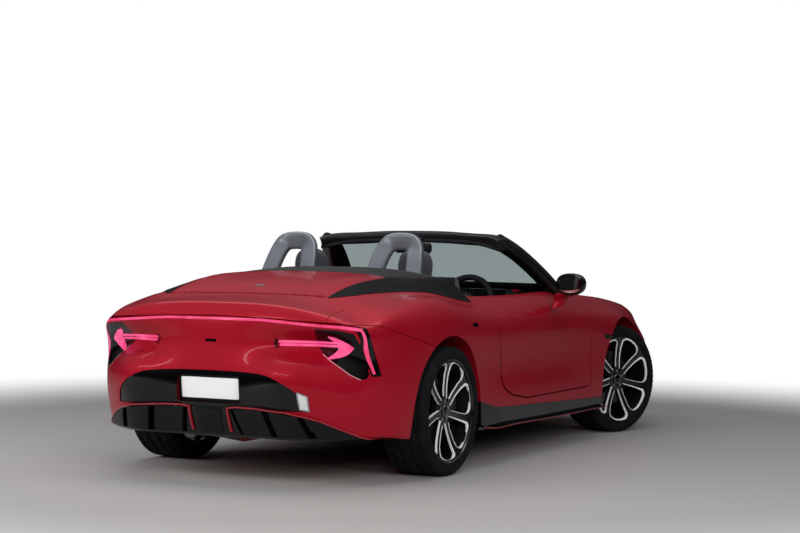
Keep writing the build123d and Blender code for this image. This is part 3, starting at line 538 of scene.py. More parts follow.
def make_glass_finish(made):
    """Laminated glass, green-grey: what is behind it shows a third darker, and it mirrors at a low angle."""
    glass = finish("laminated_tinted_glass", "#FFFFFF", 0.0)
    tree = glass.node_tree
    clear = add(glass, "ShaderNodeBsdfTransparent", Color=linear("#CBD3D4"))
    shine = add(glass, "ShaderNodeBsdfGlossy", Color=(0.9, 0.93, 0.94, 1), Roughness=0.02)
    facing = add(glass, "ShaderNodeLayerWeight", Blend=0.35)
    spread = add(glass, "ShaderNodeMapRange", {"Value": (facing, "Fresnel")}, To_Min=0.02, To_Max=0.3)
    dust = add(glass, "ShaderNodeTexNoise", Scale=30.0)
    film = add(glass, "ShaderNodeMapRange", {"Value": (dust, "Fac")}, To_Min=0.96, To_Max=1.04)
    amount = add(glass, "ShaderNodeMath", {0: (spread, "Result"), 1: (film, "Result")}, operation="MULTIPLY")
    mix = add(glass, "ShaderNodeMixShader", {0: (amount, 0), 1: (clear, 0), 2: (shine, 0)})
    tree.links.new(mix.outputs[0], tree.nodes["Material Output"].inputs["Surface"])
    made["glass"] = glass


CELLS = "ShaderNodeTexVoronoi"
# plain finishes: key, name, base colour, roughness, metallic, more sockets, then what varies over the surface:
#   vary: patch size, low and high roughness      grain: mark size, depth and what else grain takes
#   tones: output, dark, light and where the ramp starts and ends, on top of grain
PLAIN_FINISHES = [
    # moulded plastics, lacquered and plain
    ("black_gloss", "gloss_black_lacquered_abs", "#050506", 0.1, 0.0,
     dict(IOR=1.4, Coat_Weight=0.25, Coat_Roughness=0.03, Specular_IOR_Level=0.4), dict(vary=(60, 0.05, 0.12))),
    ("black_matte", "grained_black_polypropylene", "#0E0E10", 0.62, 0.0,
     dict(Specular_IOR_Level=0.25), dict(grain=(0.9, 0.05))),
    # felted wheel-arch liner that swallows light; on the cut faces of deep hollows the same near-black is painted
    # shade
    ("liner_and_hollow_shade", "fibre_lining_and_painted_hollow_shade", "#0A0A0B", 0.95, 0.0, dict(IOR=1.3), dict(grain=(3.0, 0.4))),
    # painted highlight: a thin pale pink line along the lens's lower edge, where the edge catches the light
    ("lens_edge_highlight", "painted_highlight_on_lens_edge", "#B9818B", 0.3, 0.0, dict(IOR=1.49), dict(grain=(4, 0.05))),
    # prismatic clear reflector: small bright and dark cells under clear plastic
    ("reflector", "prismatic_clear_reflector", "#C9CCD0", 0.12, 0.6, dict(Coat_Weight=1.0),
     dict(grain=(6, 0.5, 1.0, CELLS), tones=("Distance", "#70757B", "#F2F3F5", 0.1, 0.6))),
    ("lamp_clear", "clear_lamp_lens", "#2A2C30", 0.04, 0.2, dict(IOR=1.58, Coat_Weight=1.0),
     dict(grain=(9, 0.3, 0.5, CELLS))),
    # retro-reflective plate sheet: white with a fine bead texture
    ("plate_white", "retroreflective_white_sheet", "#D9DADA", 0.35, 0.0, dict(Coat_Weight=0.3),
     dict(grain=(1.6, 0.03, 0.6, CELLS), tones=("Distance", "#CFD1D2", "#E3E4E4", 0.1, 0.8))),
    # diffuser fins and its painted edge
    ("fin_grey", "satin_graphite_lacquer", "#0F0F11", 0.42, 0.0, dict(IOR=1.4, Specular_IOR_Level=0.3),
     dict(vary=(80, 0.26, 0.4))),
    ("red_stripe", "red_lacquered_edge", "#8A1220", 0.25, 0.0, dict(Coat_Weight=0.6), dict(vary=(40, 0.2, 0.32))),
    ("frame_black", "soft_gloss_black_trim", "#0B0B0D", 0.34, 0.0,
     dict(Coat_Weight=0.1, Coat_Roughness=0.1, Specular_IOR_Level=0.3), dict(vary=(70, 0.24, 0.4))),
    ("mirror", "silvered_mirror_glass", "#E6E8EA", 0.02, 1.0, {}, dict(vary=(90, 0.01, 0.04))),
    # roll hoops, badge and frames
    ("hoop_silver", "satin_silver_painted_aluminium", "#80848B", 0.36, 0.75,
     dict(Coat_Weight=0.3, Coat_Roughness=0.15), dict(vary=(30, 0.3, 0.42))),
    ("silver", "bright_satin_aluminium", "#B9BCC0", 0.28, 1.0, {}, dict(grain=(0.8, 0.01, 0.4))),
    # wheels
    ("diamond_cut", "diamond_cut_alloy", "#F2F3F4", 0.32, 0.2, dict(Coat_Weight=0.4, Coat_Roughness=0.05),
     dict(vary=(5, 0.24, 0.38))),
    ("wheel_black", "gloss_black_wheel_lacquer", "#0D0D0F", 0.16, 0.0,
     dict(IOR=1.5, Coat_Weight=0.5, Coat_Roughness=0.06), dict(vary=(25, 0.12, 0.24))),
    ("wheel_grey", "satin_grey_wheel_lacquer", "#18191B", 0.34, 0.1, dict(Coat_Weight=0.2),
     dict(vary=(25, 0.24, 0.4))),
    # vulcanised rubber: dull, a shade greyer where dust sits
    ("tyre", "vulcanised_tyre_rubber", "#0B0A0B", 0.78, 0.0, dict(Specular_IOR_Level=0.2),
     dict(grain=(55, 0.05, 0.3), tones=("Fac", "#0B0A0B", "#161517"))),
    ("rubber", "rubber_seal", "#121213", 0.78, 0.0, dict(Specular_IOR_Level=0.2),
     dict(grain=(20, 0.05, 0.3), tones=("Fac", "#121213", "#1B1B1C"))),
    ("cast_iron", "turned_cast_iron", "#5E5F62", 0.38, 1.0, {}, dict(grain=(2.5, 0.04, 0.5))),
    ("cast_alloy", "sand_cast_aluminium", "#77797C", 0.5, 1.0, {}, dict(grain=(3.0, 0.15, 0.6))),
    # woven cover cloth and the moulded cover round it
    ("cover_cloth", "black_acrylic_twill", "#0A0A0C", 0.9, 0.0,
     dict(Specular_IOR_Level=0.1, Sheen_Weight=0.06, Sheen_Roughness=0.4), dict(grain=(2.2, 0.25, 0.7, CELLS))),
    ("cover_black", "moulded_black_cover", "#0C0D0E", 0.5, 0.0, dict(IOR=1.38, Specular_IOR_Level=0.15),
     dict(grain=(1.4, 0.06, 0.5))),
    # cabin
    ("leather", "grained_dark_leather", "#2B2C31", 0.5, 0.0, dict(IOR=1.45, Sheen_Weight=0.1),
     dict(grain=(2.4, 0.12, 0.6, CELLS), tones=("Distance", "#25262A", "#34353B", 0.1, 0.8))),
    ("trim_plastic", "soft_touch_dark_trim", "#121315", 0.6, 0.0, dict(Specular_IOR_Level=0.2),
     dict(grain=(1.1, 0.08, 0.6))),
    ("display", "glass_covered_display", "#07080A", 0.06, 0.0, dict(IOR=1.52, Coat_Weight=1.0),
     dict(vary=(50, 0.04, 0.1))),
    ("carpet", "tufted_black_carpet", "#0E0E10", 0.95, 0.0, dict(Sheen_Weight=0.3), dict(grain=(2.0, 0.8, 1.0))),
    ("mesh", "black_expanded_mesh", "#0C0C0D", 0.4, 0.0, dict(IOR=1.5),
     dict(grain=(14, 3.0, 1.0, CELLS), tones=("Distance", "#1B1C1E", "#020202", 0.15, 0.45))),
]


def make_plain_finishes(made):
    """The finishes that the table describes."""
    for key, name, colour, roughness, metallic, sockets, surface in PLAIN_FINISHES:
        material = finish(name, colour, roughness, metallic, **sockets)
        if "vary" in surface:
            vary(material, *surface["vary"])
        if "grain" in surface:
            texture = grain(material, *surface["grain"])
            if "tones" in surface:
                shade(material, texture, *surface["tones"])
        made[key] = material


F = {}  # finishes by key
SKINS = {}  # the skin by its depth in mm


def skin(depth=0):
    """The skin at a depth in mm, built once."""
    if depth not in SKINS:
        SKINS[depth] = Skin(skin_mesh()) if depth == 0 else skin(0).inward(depth)
    return SKINS[depth]


# ---------------------------------------------------------------- body panels
FAR = 1300.0
GAP = 5.0  # shut gaps that show, mm
DOOR_GAP = 7.5
SEAM = 3.0  # joints between fixed panels, mm
BEHIND_X, AHEAD_X = -2600.0, 2600.0  # past the tail and the nose
REAR_AXLE_X, FRONT_AXLE_X, AXLE_Z, ARCH_RADIUS = -1285.0, 1405.0, 351.0, 408.0
REAR_WELL_Y, FRONT_WELL_Y = 640.0, 470.0
DOOR_INNER_Y, DOOR_OUTER_Y = 760.0, 935.0
DOOR_OUTLINE = [
    (-748, -748, 1000), (-622, -604, 789), (-578, -518, 644), (-574, -470, 483), (-545, -425, 423),
    (-431, -380, 380), (-214, -214, 347), (770, 770, 347), (809, 809, 400), (809, 809, 1000),
]
BOOT_LID = [(-1868, 493), (-1318, 526)]
BONNET = [(800, 650), (1000, 690), (1560, 630), (2010, 430)]
TONNEAU = [(-1280, 526), (-1000, 640), (-751, 640)]
BUMPER_SPLIT_X, TUB_REAR_X, TUB_FRONT_X, NOSE_SPLIT_X = -1955.0, -890.0, 990.0, 1900.0
BUMPER_EDGE = [(0, 867), (516, 854), (812, 838), (1300, 838), (1300, 0), (0, 0)]
BUMPER_SIDE = [(-1955, 838), (-1914, 827), (-1766, 781), (-1460, 702), (-1460, 0), (-1955, 0)]
LIP_HALF, SILL_TOP_Z = 640.0, 430.0
INNER_SPLIT_Y, FENDER_SPLIT_Y = 480.0, 430.0
CORNER_SPLIT_Y = 720.0  # the bumper's corners start here
DOOR_CORNER = 55  # reach of its rounded corners
DOOR_MIDDLE = (50.0, 640.0)
DECK_DEPTH = 36.0  # of the lid, the bonnet and the tonneau
LID_HINGE_GAP = 22  # behind the boot lid
CABIN = ((-745, -754, 250), (640, 754, FAR))
FOOTWELL = ((600, -700, 250), (930, 700, 700))
BOOT = ((-1900, -480, 470), (-1330, 480, 900))
FRONT_BAY = ((1010, -430, 250), (1985, 430, 700))
BADGE_X, BADGE_HALF_LENGTH, BADGE_HALF_WIDTH = -1742, 13, 34
SIDES = (("left", 1), ("right", -1))
# cut faces take the near-black liner, which paints shade into hollows and recesses
PAINTED = ("paint", "liner_and_hollow_shade")  # outside and cut faces of a painted panel


def turns(count):
    """Angles in radians at even steps round a circle."""
    return np.linspace(0, 2 * math.pi, count + 1)[:-1]


def wheel_wells():
    """Cutters for the four wheel wells."""
    wells = []
    for x, wall in ((REAR_AXLE_X, REAR_WELL_Y), (FRONT_AXLE_X, FRONT_WELL_Y)):
        for sign in (1, -1):
            low, high = side_span(sign, wall, FAR)
            wells.append(drum(x, AXLE_Z, ARCH_RADIUS, low, high))
            wells.append(block((x - ARCH_RADIUS, low, -50), (x + ARCH_RADIUS, high, AXLE_Z)))
    return wells


def eased(outline, reach):
    """An outline whose corners are rounded over a reach in mm."""
    points = [Vector(p) for p in outline]
    out = []
    for i, p in enumerate(points):
        a, b = points[i - 1] - p, points[(i + 1) % len(points)] - p
        a, b = a * min(0.45, reach / a.length), b * min(0.45, reach / b.length)
        out += [tuple(p + a * (1 - t) ** 2 + b * t**2) for t in (0, 0.25, 0.5, 0.75, 1)]
    return out


def door_space(grow, sign):
    """A door's space between its inner and outer planes, grown all round, for one side of the car."""
    points, outline = [], eased(DOOR_OUTLINE, DOOR_CORNER)
    stretch = (FAR - DOOR_INNER_Y) / (DOOR_OUTER_Y - DOOR_INNER_Y)
    for share, y in ((0, DOOR_INNER_Y - grow), (stretch, FAR)):
        for outer, inner, z in outline:
            x = inner + (outer - inner) * share
            away_x, away_z = (grow * math.copysign(1, a - b) for a, b in zip((x, z), DOOR_MIDDLE))
            points.append((x + away_x, y * sign, z + away_z))
    return between("door_space", points)


def shell_cutters():
    """What is hollow in the body."""
    return wheel_wells() + [block(*CABIN), block(*FOOTWELL), door_space(DOOR_GAP, 1), door_space(DOOR_GAP, -1)]


def grown(half_outline, by):
    """A half plan outline grown outward by a distance in mm."""
    points = mirrored(half_outline)
    out = []
    for i, point in enumerate(points):
        before, after = Vector(points[i - 1]), Vector(points[(i + 1) % len(points)])
        here = Vector(point)
        a, b = (here - before).normalized(), (after - here).normalized()
        normal_a, normal_b = Vector((a[1], -a[0])), Vector((b[1], -b[0]))
        turn = normal_a + normal_b
        out.append(tuple(here + turn * by / max(0.3, turn.length_squared / 2)))
    area = sum(points[i - 1][0] * points[i][1] - points[i][0] * points[i - 1][1] for i in range(len(points)))
    if area < 0:
        return [tuple(2 * Vector(p) - Vector(q)) for p, q in zip(points, out)]
    return out


def flank(sign, split, x0, x1):
    """The space outside a split on one side of the car."""
    low, high = side_span(sign, split, FAR)
    return block((x0, low, 0), (x1, high, FAR))


def bumper_spaces(grow=0.0):
    """Cutters for the rear bumper's middle and its two corners, grown upward."""
    edge = [(y, z + grow * (z > 0)) for y, z in BUMPER_EDGE]
    side = [(x, z + grow * (z > 0)) for x, z in BUMPER_SIDE]
    middle = prism(whole(edge), BEHIND_X, BUMPER_SPLIT_X, "x")
    return [middle] + [prism(side, *side_span(s, CORNER_SPLIT_Y, FAR), "y") for s in (1, -1)]


def build_rear(shell, tub):
    """The tail's painted panels and the diffuser's block."""
    low = prism(whole(DIFFUSER_TOP + [(FAR, 215), (FAR, 0), (0, 0)]), BEHIND_X, BUMPER_SPLIT_X, "x")
    rear = combine(shell, ("keep", block((BEHIND_X, -FAR, 0), (0, FAR, FAR))), ("cut", tub))
    diffuser = combine(rear, ("keep", low))
    for side in (as_is, flipped):
        channels = [layer(side(channel), -20, 42, BEHIND_X, FIN_END_X) for channel in CHANNELS]
        diffuser = combine(diffuser, *[("cut", channel) for channel in channels])
    rear = combine(rear, ("cut", low))
    middle, *corners = bumper_spaces()
    bumper = combine(combine(rear, ("keep", middle)), *[("add", combine(rear, ("keep", c))) for c in corners])
    rear = combine(rear, *[("cut", space) for space in bumper_spaces(SEAM)])
    bar_hollow = layer(whole(RECESS), -3, 16)
    lip = block((BEHIND_X, -LIP_HALF, 0), (BUMPER_SPLIT_X, LIP_HALF, FAR))
    lip_skin = combine(rear, ("keep", lip), ("cut", bar_hollow))
    panel("tail_lip_skin", lip_skin, [0], PAINTED, replaces=["tail_lip"], slot="paint")
    lip_seam = block((BEHIND_X, -LIP_HALF - SEAM, 0), (BUMPER_SPLIT_X, LIP_HALF + SEAM, FAR))
    rear = combine(rear, ("cut", lip_seam))
    middle = block((BEHIND_X, -INNER_SPLIT_Y, 0), (100, INNER_SPLIT_Y, FAR))
    panel("rear_deck", combine(rear, ("keep", middle)), [0], PAINTED, replaces=["rear_tub"], slot="paint")
    for side, sign in SIDES:
        quarter = combine(rear, ("keep", flank(sign, INNER_SPLIT_Y, BEHIND_X, 100)), ("cut", bar_hollow))
        name = "quarter_" + side
        panel(name + "_skin", quarter, [0], PAINTED, replaces=[name], slot="paint")
    bumper = combine(bumper, *[("cut", m) for m in tail_hollows()])
    panel("rear_bumper_skin", bumper, [0], PAINTED, replaces=["rear_bumper"], slot="paint")
    panel("diffuser_block", diffuser, [0], ("black_gloss", "liner_and_hollow_shade"), replaces=["diffuser"], slot="black_gloss")


def build_front(shell, tub):
    """Scuttle, fenders and the front bumper."""
    front = combine(shell, ("keep", block((0, -FAR, 0), (NOSE_SPLIT_X, FAR, FAR))), ("cut", tub))
    middle = block((0, -FENDER_SPLIT_Y, 0), (AHEAD_X, FENDER_SPLIT_Y, FAR))
    cowl = combine(front, ("keep", middle))
    panel("cowl_skin", cowl, [0], ("black_matte", "liner_and_hollow_shade"), replaces=["cowl"], slot="black_matte")
    for side, sign in SIDES:
        fender = combine(front, ("keep", flank(sign, FENDER_SPLIT_Y, 0, AHEAD_X)))
        panel("fender_" + side + "_skin", fender, [0], PAINTED, replaces=["fender_" + side], slot="paint")
    nose = combine(shell, ("keep", block((NOSE_SPLIT_X + SEAM / 2, -FAR, 0), (AHEAD_X, FAR, FAR))))
    nose = combine(nose, *[("cut", m) for m in nose_hollows()])
    panel("front_bumper_skin", nose, [0], PAINTED, replaces=["front_bumper"], slot="paint")


def build_panels():
    """All painted and black panels that follow the skin."""
    body = skin(0).mesh
    shell = combine(body, *[("cut", c) for c in shell_cutters()])
    under = body.copy()
    under.transform(Matrix.Translation((0, 0, -DECK_DEPTH * MM)))
    deck_skin = combine(body, ("cut", under))
    for outline, gap in ((BOOT_LID, GAP), (BONNET, GAP), (TONNEAU, SEAM)):
        shell = combine(shell, ("cut", combine(deck_skin, ("keep", prism(grown(outline, gap), 300, FAR)))))
    lid_x, lid_y = BOOT_LID[0][0], 484
    gap_x = lid_x - LID_HINGE_GAP
    behind_lid = prism([(gap_x, -lid_y), (lid_x + 8, -lid_y), (lid_x + 8, lid_y), (gap_x, lid_y)], 300, FAR)
    shell = combine(shell, ("cut", combine(deck_skin, ("keep", behind_lid))))
    shell = combine(shell, ("cut", block(*BOOT)), ("cut", block(*FRONT_BAY)))
    tub = block((TUB_REAR_X, -FAR, 0), (TUB_FRONT_X, FAR, SILL_TOP_Z))
    build_rear(shell, tub)
    build_front(shell, tub)
    panel("sill_skin", combine(shell, ("keep", tub)), [0], PAINTED, replaces=["body_tub"], slot="paint")

    for name, outline, node, keys, rides in (
        ("boot_lid_skin", BOOT_LID, "boot_lid", PAINTED, "boot_lid"),
        ("bonnet_skin", BONNET, "bonnet", PAINTED, "bonnet"),
        ("tonneau_skin", TONNEAU, "tonneau", ("cover_cloth", "liner_and_hollow_shade"), "body"),
    ):
        cut = combine(deck_skin, ("keep", prism(mirrored(outline), 300, FAR)))
        panel(name, cut, [0], keys, body=rides, replaces=[node], slot="paint")
    badge = [(BADGE_X + BADGE_HALF_LENGTH * math.sin(a), BADGE_HALF_WIDTH * math.cos(a)) for a in turns(48)]
    oval_badge = layer(badge, -2, 4, 700, FAR, "z")
    panel("plain_badge", oval_badge, [-2], ("silver", "silver"), body="boot_lid", slot="silver")
    for side, sign in SIDES:
        door = combine(body, ("keep", door_space(0, sign)))
        name = "door_" + side
        panel(name + "_skin", door, [0], PAINTED, body=name, replaces=[name], slot="paint")


# ---------------------------------------------------------------- studio
LENS_FOCUS = 1968.84  # pixels over the frame's 800
CAMERA_PLACE = (-10859.6, -5548.5, 1356.1)
CAMERA_TURN = (27.2575, -1.2124, 0.4517)  # yaw from +X toward +Y, pitch, roll
SENSOR, FRAME_WIDTH = 36, 800
FLOOR_HALF = 60
FLOOR_CORNERS = [(a * FLOOR_HALF, b * FLOOR_HALF, 0) for a, b in ((-1, -1), (1, -1), (1, 1), (-1, 1))]
FADE = (3.2, 6.2)  # where the floor starts to turn white and where it is white, metres from the middle

LAMPS = [  # name, place, aim, size, power, seen in reflections
    ("ceiling", (-1, 0, 4.5), (-0.5, 0, 0), (7, 2.0), 95, True),
    ("rear_left", (-6, 5, 3.0), (-1.5, 0, 0.8), (5, 3), 300, False),
    ("rear_right", (-7, -6, 3.4), (-1, 0, 0.7), (6, 3), 540, False),
    ("tail_strip", (-7.5, 1.5, 4.2), (-2, 0, 0.8), (5, 0.5), 60, True),
]


def build_camera():
    """The camera, level with the car's waist and behind its right side."""
    yaw, pitch, roll = (math.radians(a) for a in CAMERA_TURN)
    forward = Vector((math.cos(pitch) * math.cos(yaw), math.cos(pitch) * math.sin(yaw), math.sin(pitch)))
    right = Vector((math.sin(yaw), -math.cos(yaw), 0))
    up = right.cross(forward)
    side = math.cos(roll) * right + math.sin(roll) * up
    top = -math.sin(roll) * right + math.cos(roll) * up
    data = bpy.data.cameras.new("camera")
    data.sensor_width = SENSOR
    data.lens = LENS_FOCUS / FRAME_WIDTH * SENSOR
    data.clip_end = 200
    camera = bpy.data.objects.new("camera", data)
    turn = Matrix((side, top, -forward)).transposed().to_4x4()
    camera.matrix_world = Matrix.Translation(Vector(CAMERA_PLACE) * MM) @ turn
    bpy.context.scene.collection.objects.link(camera)
    bpy.context.scene.camera = camera


def area_light(name, place, aim, size, power, glossy):
    """A soft rectangular lamp, in metres and watts; glossy says if it shows in reflections."""
    data = bpy.data.lights.new(name, "AREA")
    data.shape, data.size, data.size_y, data.energy = "RECTANGLE", size[0], size[1], power
    lamp = bpy.data.objects.new(name, data)
    lamp.location = place
    lamp.visible_glossy = glossy
    lamp.rotation_euler = (Vector(aim) - Vector(place)).to_track_quat("-Z", "Y").to_euler()
    bpy.context.scene.collection.objects.link(lamp)


def build_stage():
    """Floor, lamps and a pale surround."""
    scene = bpy.context.scene
    scene.view_settings.view_transform = "Standard"
    floor = bpy.data.objects.new("floor", new_mesh("floor", FLOOR_CORNERS, [[0, 1, 2, 3]]))
    ground = finish("matte_painted_studio_floor", "#A3A19F", 0.62)
    grain(ground, 40, 0.3, 0.3)
    tree = ground.node_tree
    place = add(ground, "ShaderNodeTexCoord")
    away = add(ground, "ShaderNodeVectorMath", {0: (place, "Object")}, operation="LENGTH")
    fade = add(ground, "ShaderNodeMapRange", {"Value": (away, "Value")}, From_Min=FADE[0], From_Max=FADE[1])
    fade.interpolation_type = "SMOOTHSTEP"
    path = add(ground, "ShaderNodeLightPath")
    seen = add(ground, "ShaderNodeMath", {0: (fade, "Result"), 1: (path, "Is Camera Ray")}, operation="MULTIPLY")
    white = add(ground, "ShaderNodeEmission", Color=(1, 1, 1, 1))
    mix = add(ground, "ShaderNodeMixShader", {0: (seen, 0), 1: (tree.nodes["Principled BSDF"], 0), 2: (white, 0)})
    tree.links.new(mix.outputs[0], tree.nodes["Material Output"].inputs["Surface"])
    floor.data.materials.append(ground)
    scene.collection.objects.link(floor)
    build_world(scene)
    for lamp in LAMPS:
        area_light(*lamp)


def build_world(scene):
    """A surround that is white to the eye and grey below, pale above to the car."""
    world = bpy.data.worlds.new("studio")
    scene.world = world
    world.use_nodes = True
    tree = world.node_tree
    tree.nodes.clear()
    place = tree.nodes.new("ShaderNodeTexCoord")
    parts = tree.nodes.new("ShaderNodeSeparateXYZ")
    tree.links.new(place.outputs["Generated"], parts.inputs[0])
    ramp = tree.nodes.new("ShaderNodeValToRGB")
    tree.links.new(parts.outputs["Z"], ramp.inputs[0])
    set_ramp(ramp, "#242527", "#D0D2D6", 0.14, 0.85)
    plain = tree.nodes.new("ShaderNodeBackground")
    tree.links.new(ramp.outputs[0], plain.inputs["Color"])
    plain.inputs["Strength"].default_value = 0.6
    seen = tree.nodes.new("ShaderNodeBackground")
    seen.inputs["Color"].default_value = (1, 1, 1, 1)
    path = tree.nodes.new("ShaderNodeLightPath")
    mix = tree.nodes.new("ShaderNodeMixShader")
    out = tree.nodes.new("ShaderNodeOutputWorld")
    tree.links.new(path.outputs["Is Camera Ray"], mix.inputs[0])
    tree.links.new(plain.outputs[0], mix.inputs[1])
    tree.links.new(seen.outputs[0], mix.inputs[2])
    tree.links.new(mix.outputs[0], out.inputs[0])


# ---------------------------------------------------------------- tail: lamps, plate, diffuser
RECESS = [
    (0, 882), (281, 876), (504, 865), (702, 852), (794, 830), (808, 822), (853, 580), (818, 582),
    (776, 806), (709, 826), (509, 841), (284, 856), (0, 857),
]
BAR_LINE = [(0, 863), (284, 862), (400, 855), (509, 847), (709, 832), (789, 817)]
BAR_BREAK = (507, 516)
BLADE_LINE = [(-2046, 822), (-2026, 762), (-2006, 706), (-1990, 645), (-1976, 590)]  # seen from the side
BLADE_FRAME = [(-2066, 828), (-2020, 826), (-1976, 700), (-1938, 577), (-1988, 577), (-2026, 700)]
ARROW_UPPER = [(374, 753.5), (583, 751.5), (664, 748.5)]
ARROW_LOWER = [(380, 737.5), (582, 735.5), (664, 732)]
ARROW_HEAD = [
    (640, 785), (670, 778), (689, 768), (710, 754), (724, 745), (746, 723), (720, 698), (704, 686), (682, 676),
    (654, 669), (627, 666), (626, 674), (647, 696), (663, 715), (665, 743), (655, 758), (638, 774)
]
ARROW_POCKET = [(352, 766), (384, 768), (388, 722), (362, 718)]
LENS = [
    (588, 826), (632, 822), (701, 817), (766, 799), (813, 589), (806, 567), (784, 563), (760, 573), (731, 596),
    (694, 626), (648, 657), (588, 700), (560, 740),
]
# the lens's lower edge, where a painted highlight runs
LENS_HIGHLIGHT_LINE = [(595, 693), (647, 655), (694, 624), (739, 589), (784, 563)]
LOWER_EDGE = [
    (0, 597), (170, 595), (317, 589), (380, 580), (430, 562), (470, 543), (507, 522), (545, 490), (570, 455),
    (584, 404),
]
REFLECTOR = [(538, 503), (583, 481), (582, 406), (541, 414)]
DIFFUSER_EDGE = [(170, 411), (300, 408), (469, 396), (560, 376), (631, 352), (768, 274), (830, 238)]
STRIPE = [(117, 276), (117, 404), *DIFFUSER_EDGE]
FINS = [
    [(152, 402), (325, 399), (360, 262), (190, 264)],
    [(365, 396), (520, 379), (556, 262), (400, 262)],
    [(562, 366), (631, 343), (762, 268), (762, 262), (600, 262)],
]
DIFFUSER_TOP = [(0, 404), (138, 404), *DIFFUSER_EDGE, (900, 215)]
CHANNELS = [
    [(326, 397), (364, 395), (399, 262), (361, 264)], [(521, 378), (561, 365), (599, 262), (557, 262)],
    [(128, 398), (151, 400), (189, 264), (166, 264)],
]
TAIL_END_X, FIN_END_X, STRIPE_END_X = -1900, -1850, -1800
PLATE_PLACE, PLATE_TILT = (-2231, 0, 502), -6
POCKET_SIZE, CARRIER_SIZE, PLATE_SIZE = (404, 162, 14), (382, 142, 14), (350, 110, 9)  # width, height, corner radius
BAR_HALF, BLADE_HALF, ARROW_HALF = 6.4, 5.6, 6.4  # half widths of the lit strips


def strip(points, half_width):
    """A closed outline round an open line."""
    line = [Vector(p) for p in points]
    left, right = [], []
    for i, p in enumerate(line):
        a = (p - line[i - 1]).normalized() if i else None
        b = (line[i + 1] - p).normalized() if i + 1 < len(line) else None
        along = (a or b) + (b or a)
        across = Vector((-along[1], along[0])).normalized()
        stretch = half_width / max(0.5, math.sqrt((1 + (a or b).dot(b or a)) / 2))
        left.append(tuple(p + across * stretch))
        right.append(tuple(p - across * stretch))
    return left + right[::-1]


def layer(outline, near, far, low=BEHIND_X, high=TAIL_END_X, axis="x"):
    """What lies over an outline between two depths under the skin, in mm."""
    return combine(skin(near).mesh, ("keep", prism(outline, low, high, axis)), ("cut", skin(far).mesh))


def whole(half):
    """A half outline seen from behind, closed by its mirror image."""
    return list(half) + [(-y, z) for y, z in reversed(half) if y]


def as_is(outline):
    """An outline seen from behind, left where it is."""
    return outline


def flipped(outline):
    """An outline seen from behind, moved to the other side of the car."""
    return [(-y, z) for y, z in outline]


def tail_hollows():
    """Cutters for everything let into the tail."""
    cutters = [layer(whole(RECESS), -3, 16), layer(whole(LOWER_EDGE + [(584, 403)]), -3, 9)]
    cutters.append(on_plate(POCKET_SIZE, -60, 26))
    for side, sign in ((as_is, 1), (flipped, -1)):
        cutters.append(layer(BLADE_FRAME, -3, 7, *side_span(sign, 700, 1000), "y"))
        cutters += [layer(side(LENS), -3, 9), layer(side(ARROW_POCKET), -3, 12)]
        cutters += [layer(side(strip(line, 8)), -3, 8) for line in (ARROW_UPPER, ARROW_LOWER)]
    return cutters


def build_tail():
    """Lamps, lenses, lower panel, plate, camera and diffuser."""
    inner = [p for p in BAR_LINE if p[0] < BAR_BREAK[0]] + [(BAR_BREAK[0], 847.2)]
    outer = [(BAR_BREAK[1], 846.4)] + [p for p in BAR_LINE if p[0] > BAR_BREAK[1]]
    lights = [layer(strip(flipped(inner[:0:-1]) + inner, BAR_HALF), 0.5, 15)]
    arrows, lenses, lines, pockets, frames = [], [], [], [], []
    for side, sign in ((as_is, 1), (flipped, -1)):
        lights.append(layer(side(strip(outer, BAR_HALF)), 0.5, 15))
        lights.append(layer(strip(BLADE_LINE, BLADE_HALF), 1.5, 14, *side_span(sign, 740, 1000), "y"))
        span = side_span(sign, 700, 1000)
        slit = layer(strip(BLADE_LINE, BAR_HALF), -3, 15, *span, "y")
        frames.append(combine(layer(BLADE_FRAME, 3, 14, *span, "y"), ("cut", slit)))
        for line in (ARROW_UPPER, ARROW_LOWER):
            arrows.append(layer(side(strip(line, ARROW_HALF)), -1, 8))
        arrows.append(layer(side(ARROW_HEAD), -2, 9))
        lenses.append(layer(side(LENS), 1, 9))
        # a pale strip along each lens's lower edge: painted highlight
        lines.append(layer(side(strip(LENS_HIGHLIGHT_LINE, 1.6)), -0.6, 3))
        pockets.append(layer(side(strip([(360, 768), (354, 745), (364, 719)], 3)), -1.5, 10))
    whole_lower = layer(whole(LOWER_EDGE + [(584, 403)]), 5, 11)
    lower = combine(whole_lower, ("cut", on_plate((383, 143, 14), -60, 60)))
    rim = layer(flipped(strip(REFLECTOR + REFLECTOR[:1], 3)), -2, 9)
    camera = layer([(-29, 757), (29, 757), (32, 750), (29, 743), (-29, 743), (-32, 750)], -3, 6)
    for name, mesh, depths, keys, replaced, slot in (
        ("light_bar", joined(*lights), [1.5, 0.5], ("lamp_red", "lamp_red"), ["tail_lamps"], "red_lamp"),
        ("arrow_lamps", joined(*arrows), [-1, -2], ("arrow_red", "arrow_red"), [], "red_lamp"),
        ("blade_frames", joined(*frames), [3], ("black_gloss", "liner_and_hollow_shade"), [], "black_gloss"),
        ("lamp_lenses", joined(*lenses), [1], ("smoked", "liner_and_hollow_shade"), ["lamp_panels"], "black_gloss"),
        ("lens_edge_highlights", joined(*lines), [-0.6], ("lens_edge_highlight", "lens_edge_highlight"), [], "black_gloss"),
        ("arrow_pockets", joined(*pockets), [-1.5], ("black_gloss", "black_gloss"), [], "black_gloss"),
        ("lower_panel_skin", lower, [5], ("black_gloss", "liner_and_hollow_shade"), ["lower_panel"], "black_gloss"),
        ("reflector_lens", layer(flipped(REFLECTOR), -1, 12), [-1], ("reflector", "black_gloss"), [], "clear_lamp"),
        ("reflector_frame", rim, [-2], ("silver", "black_gloss"), [], "silver"),
        ("camera_bar", camera, [-3], ("black_gloss", "black_gloss"), [], "black_gloss"),
    ):
        panel(name, mesh, depths, keys, replaces=replaced, slot=slot)
    build_plate()
    build_diffuser()


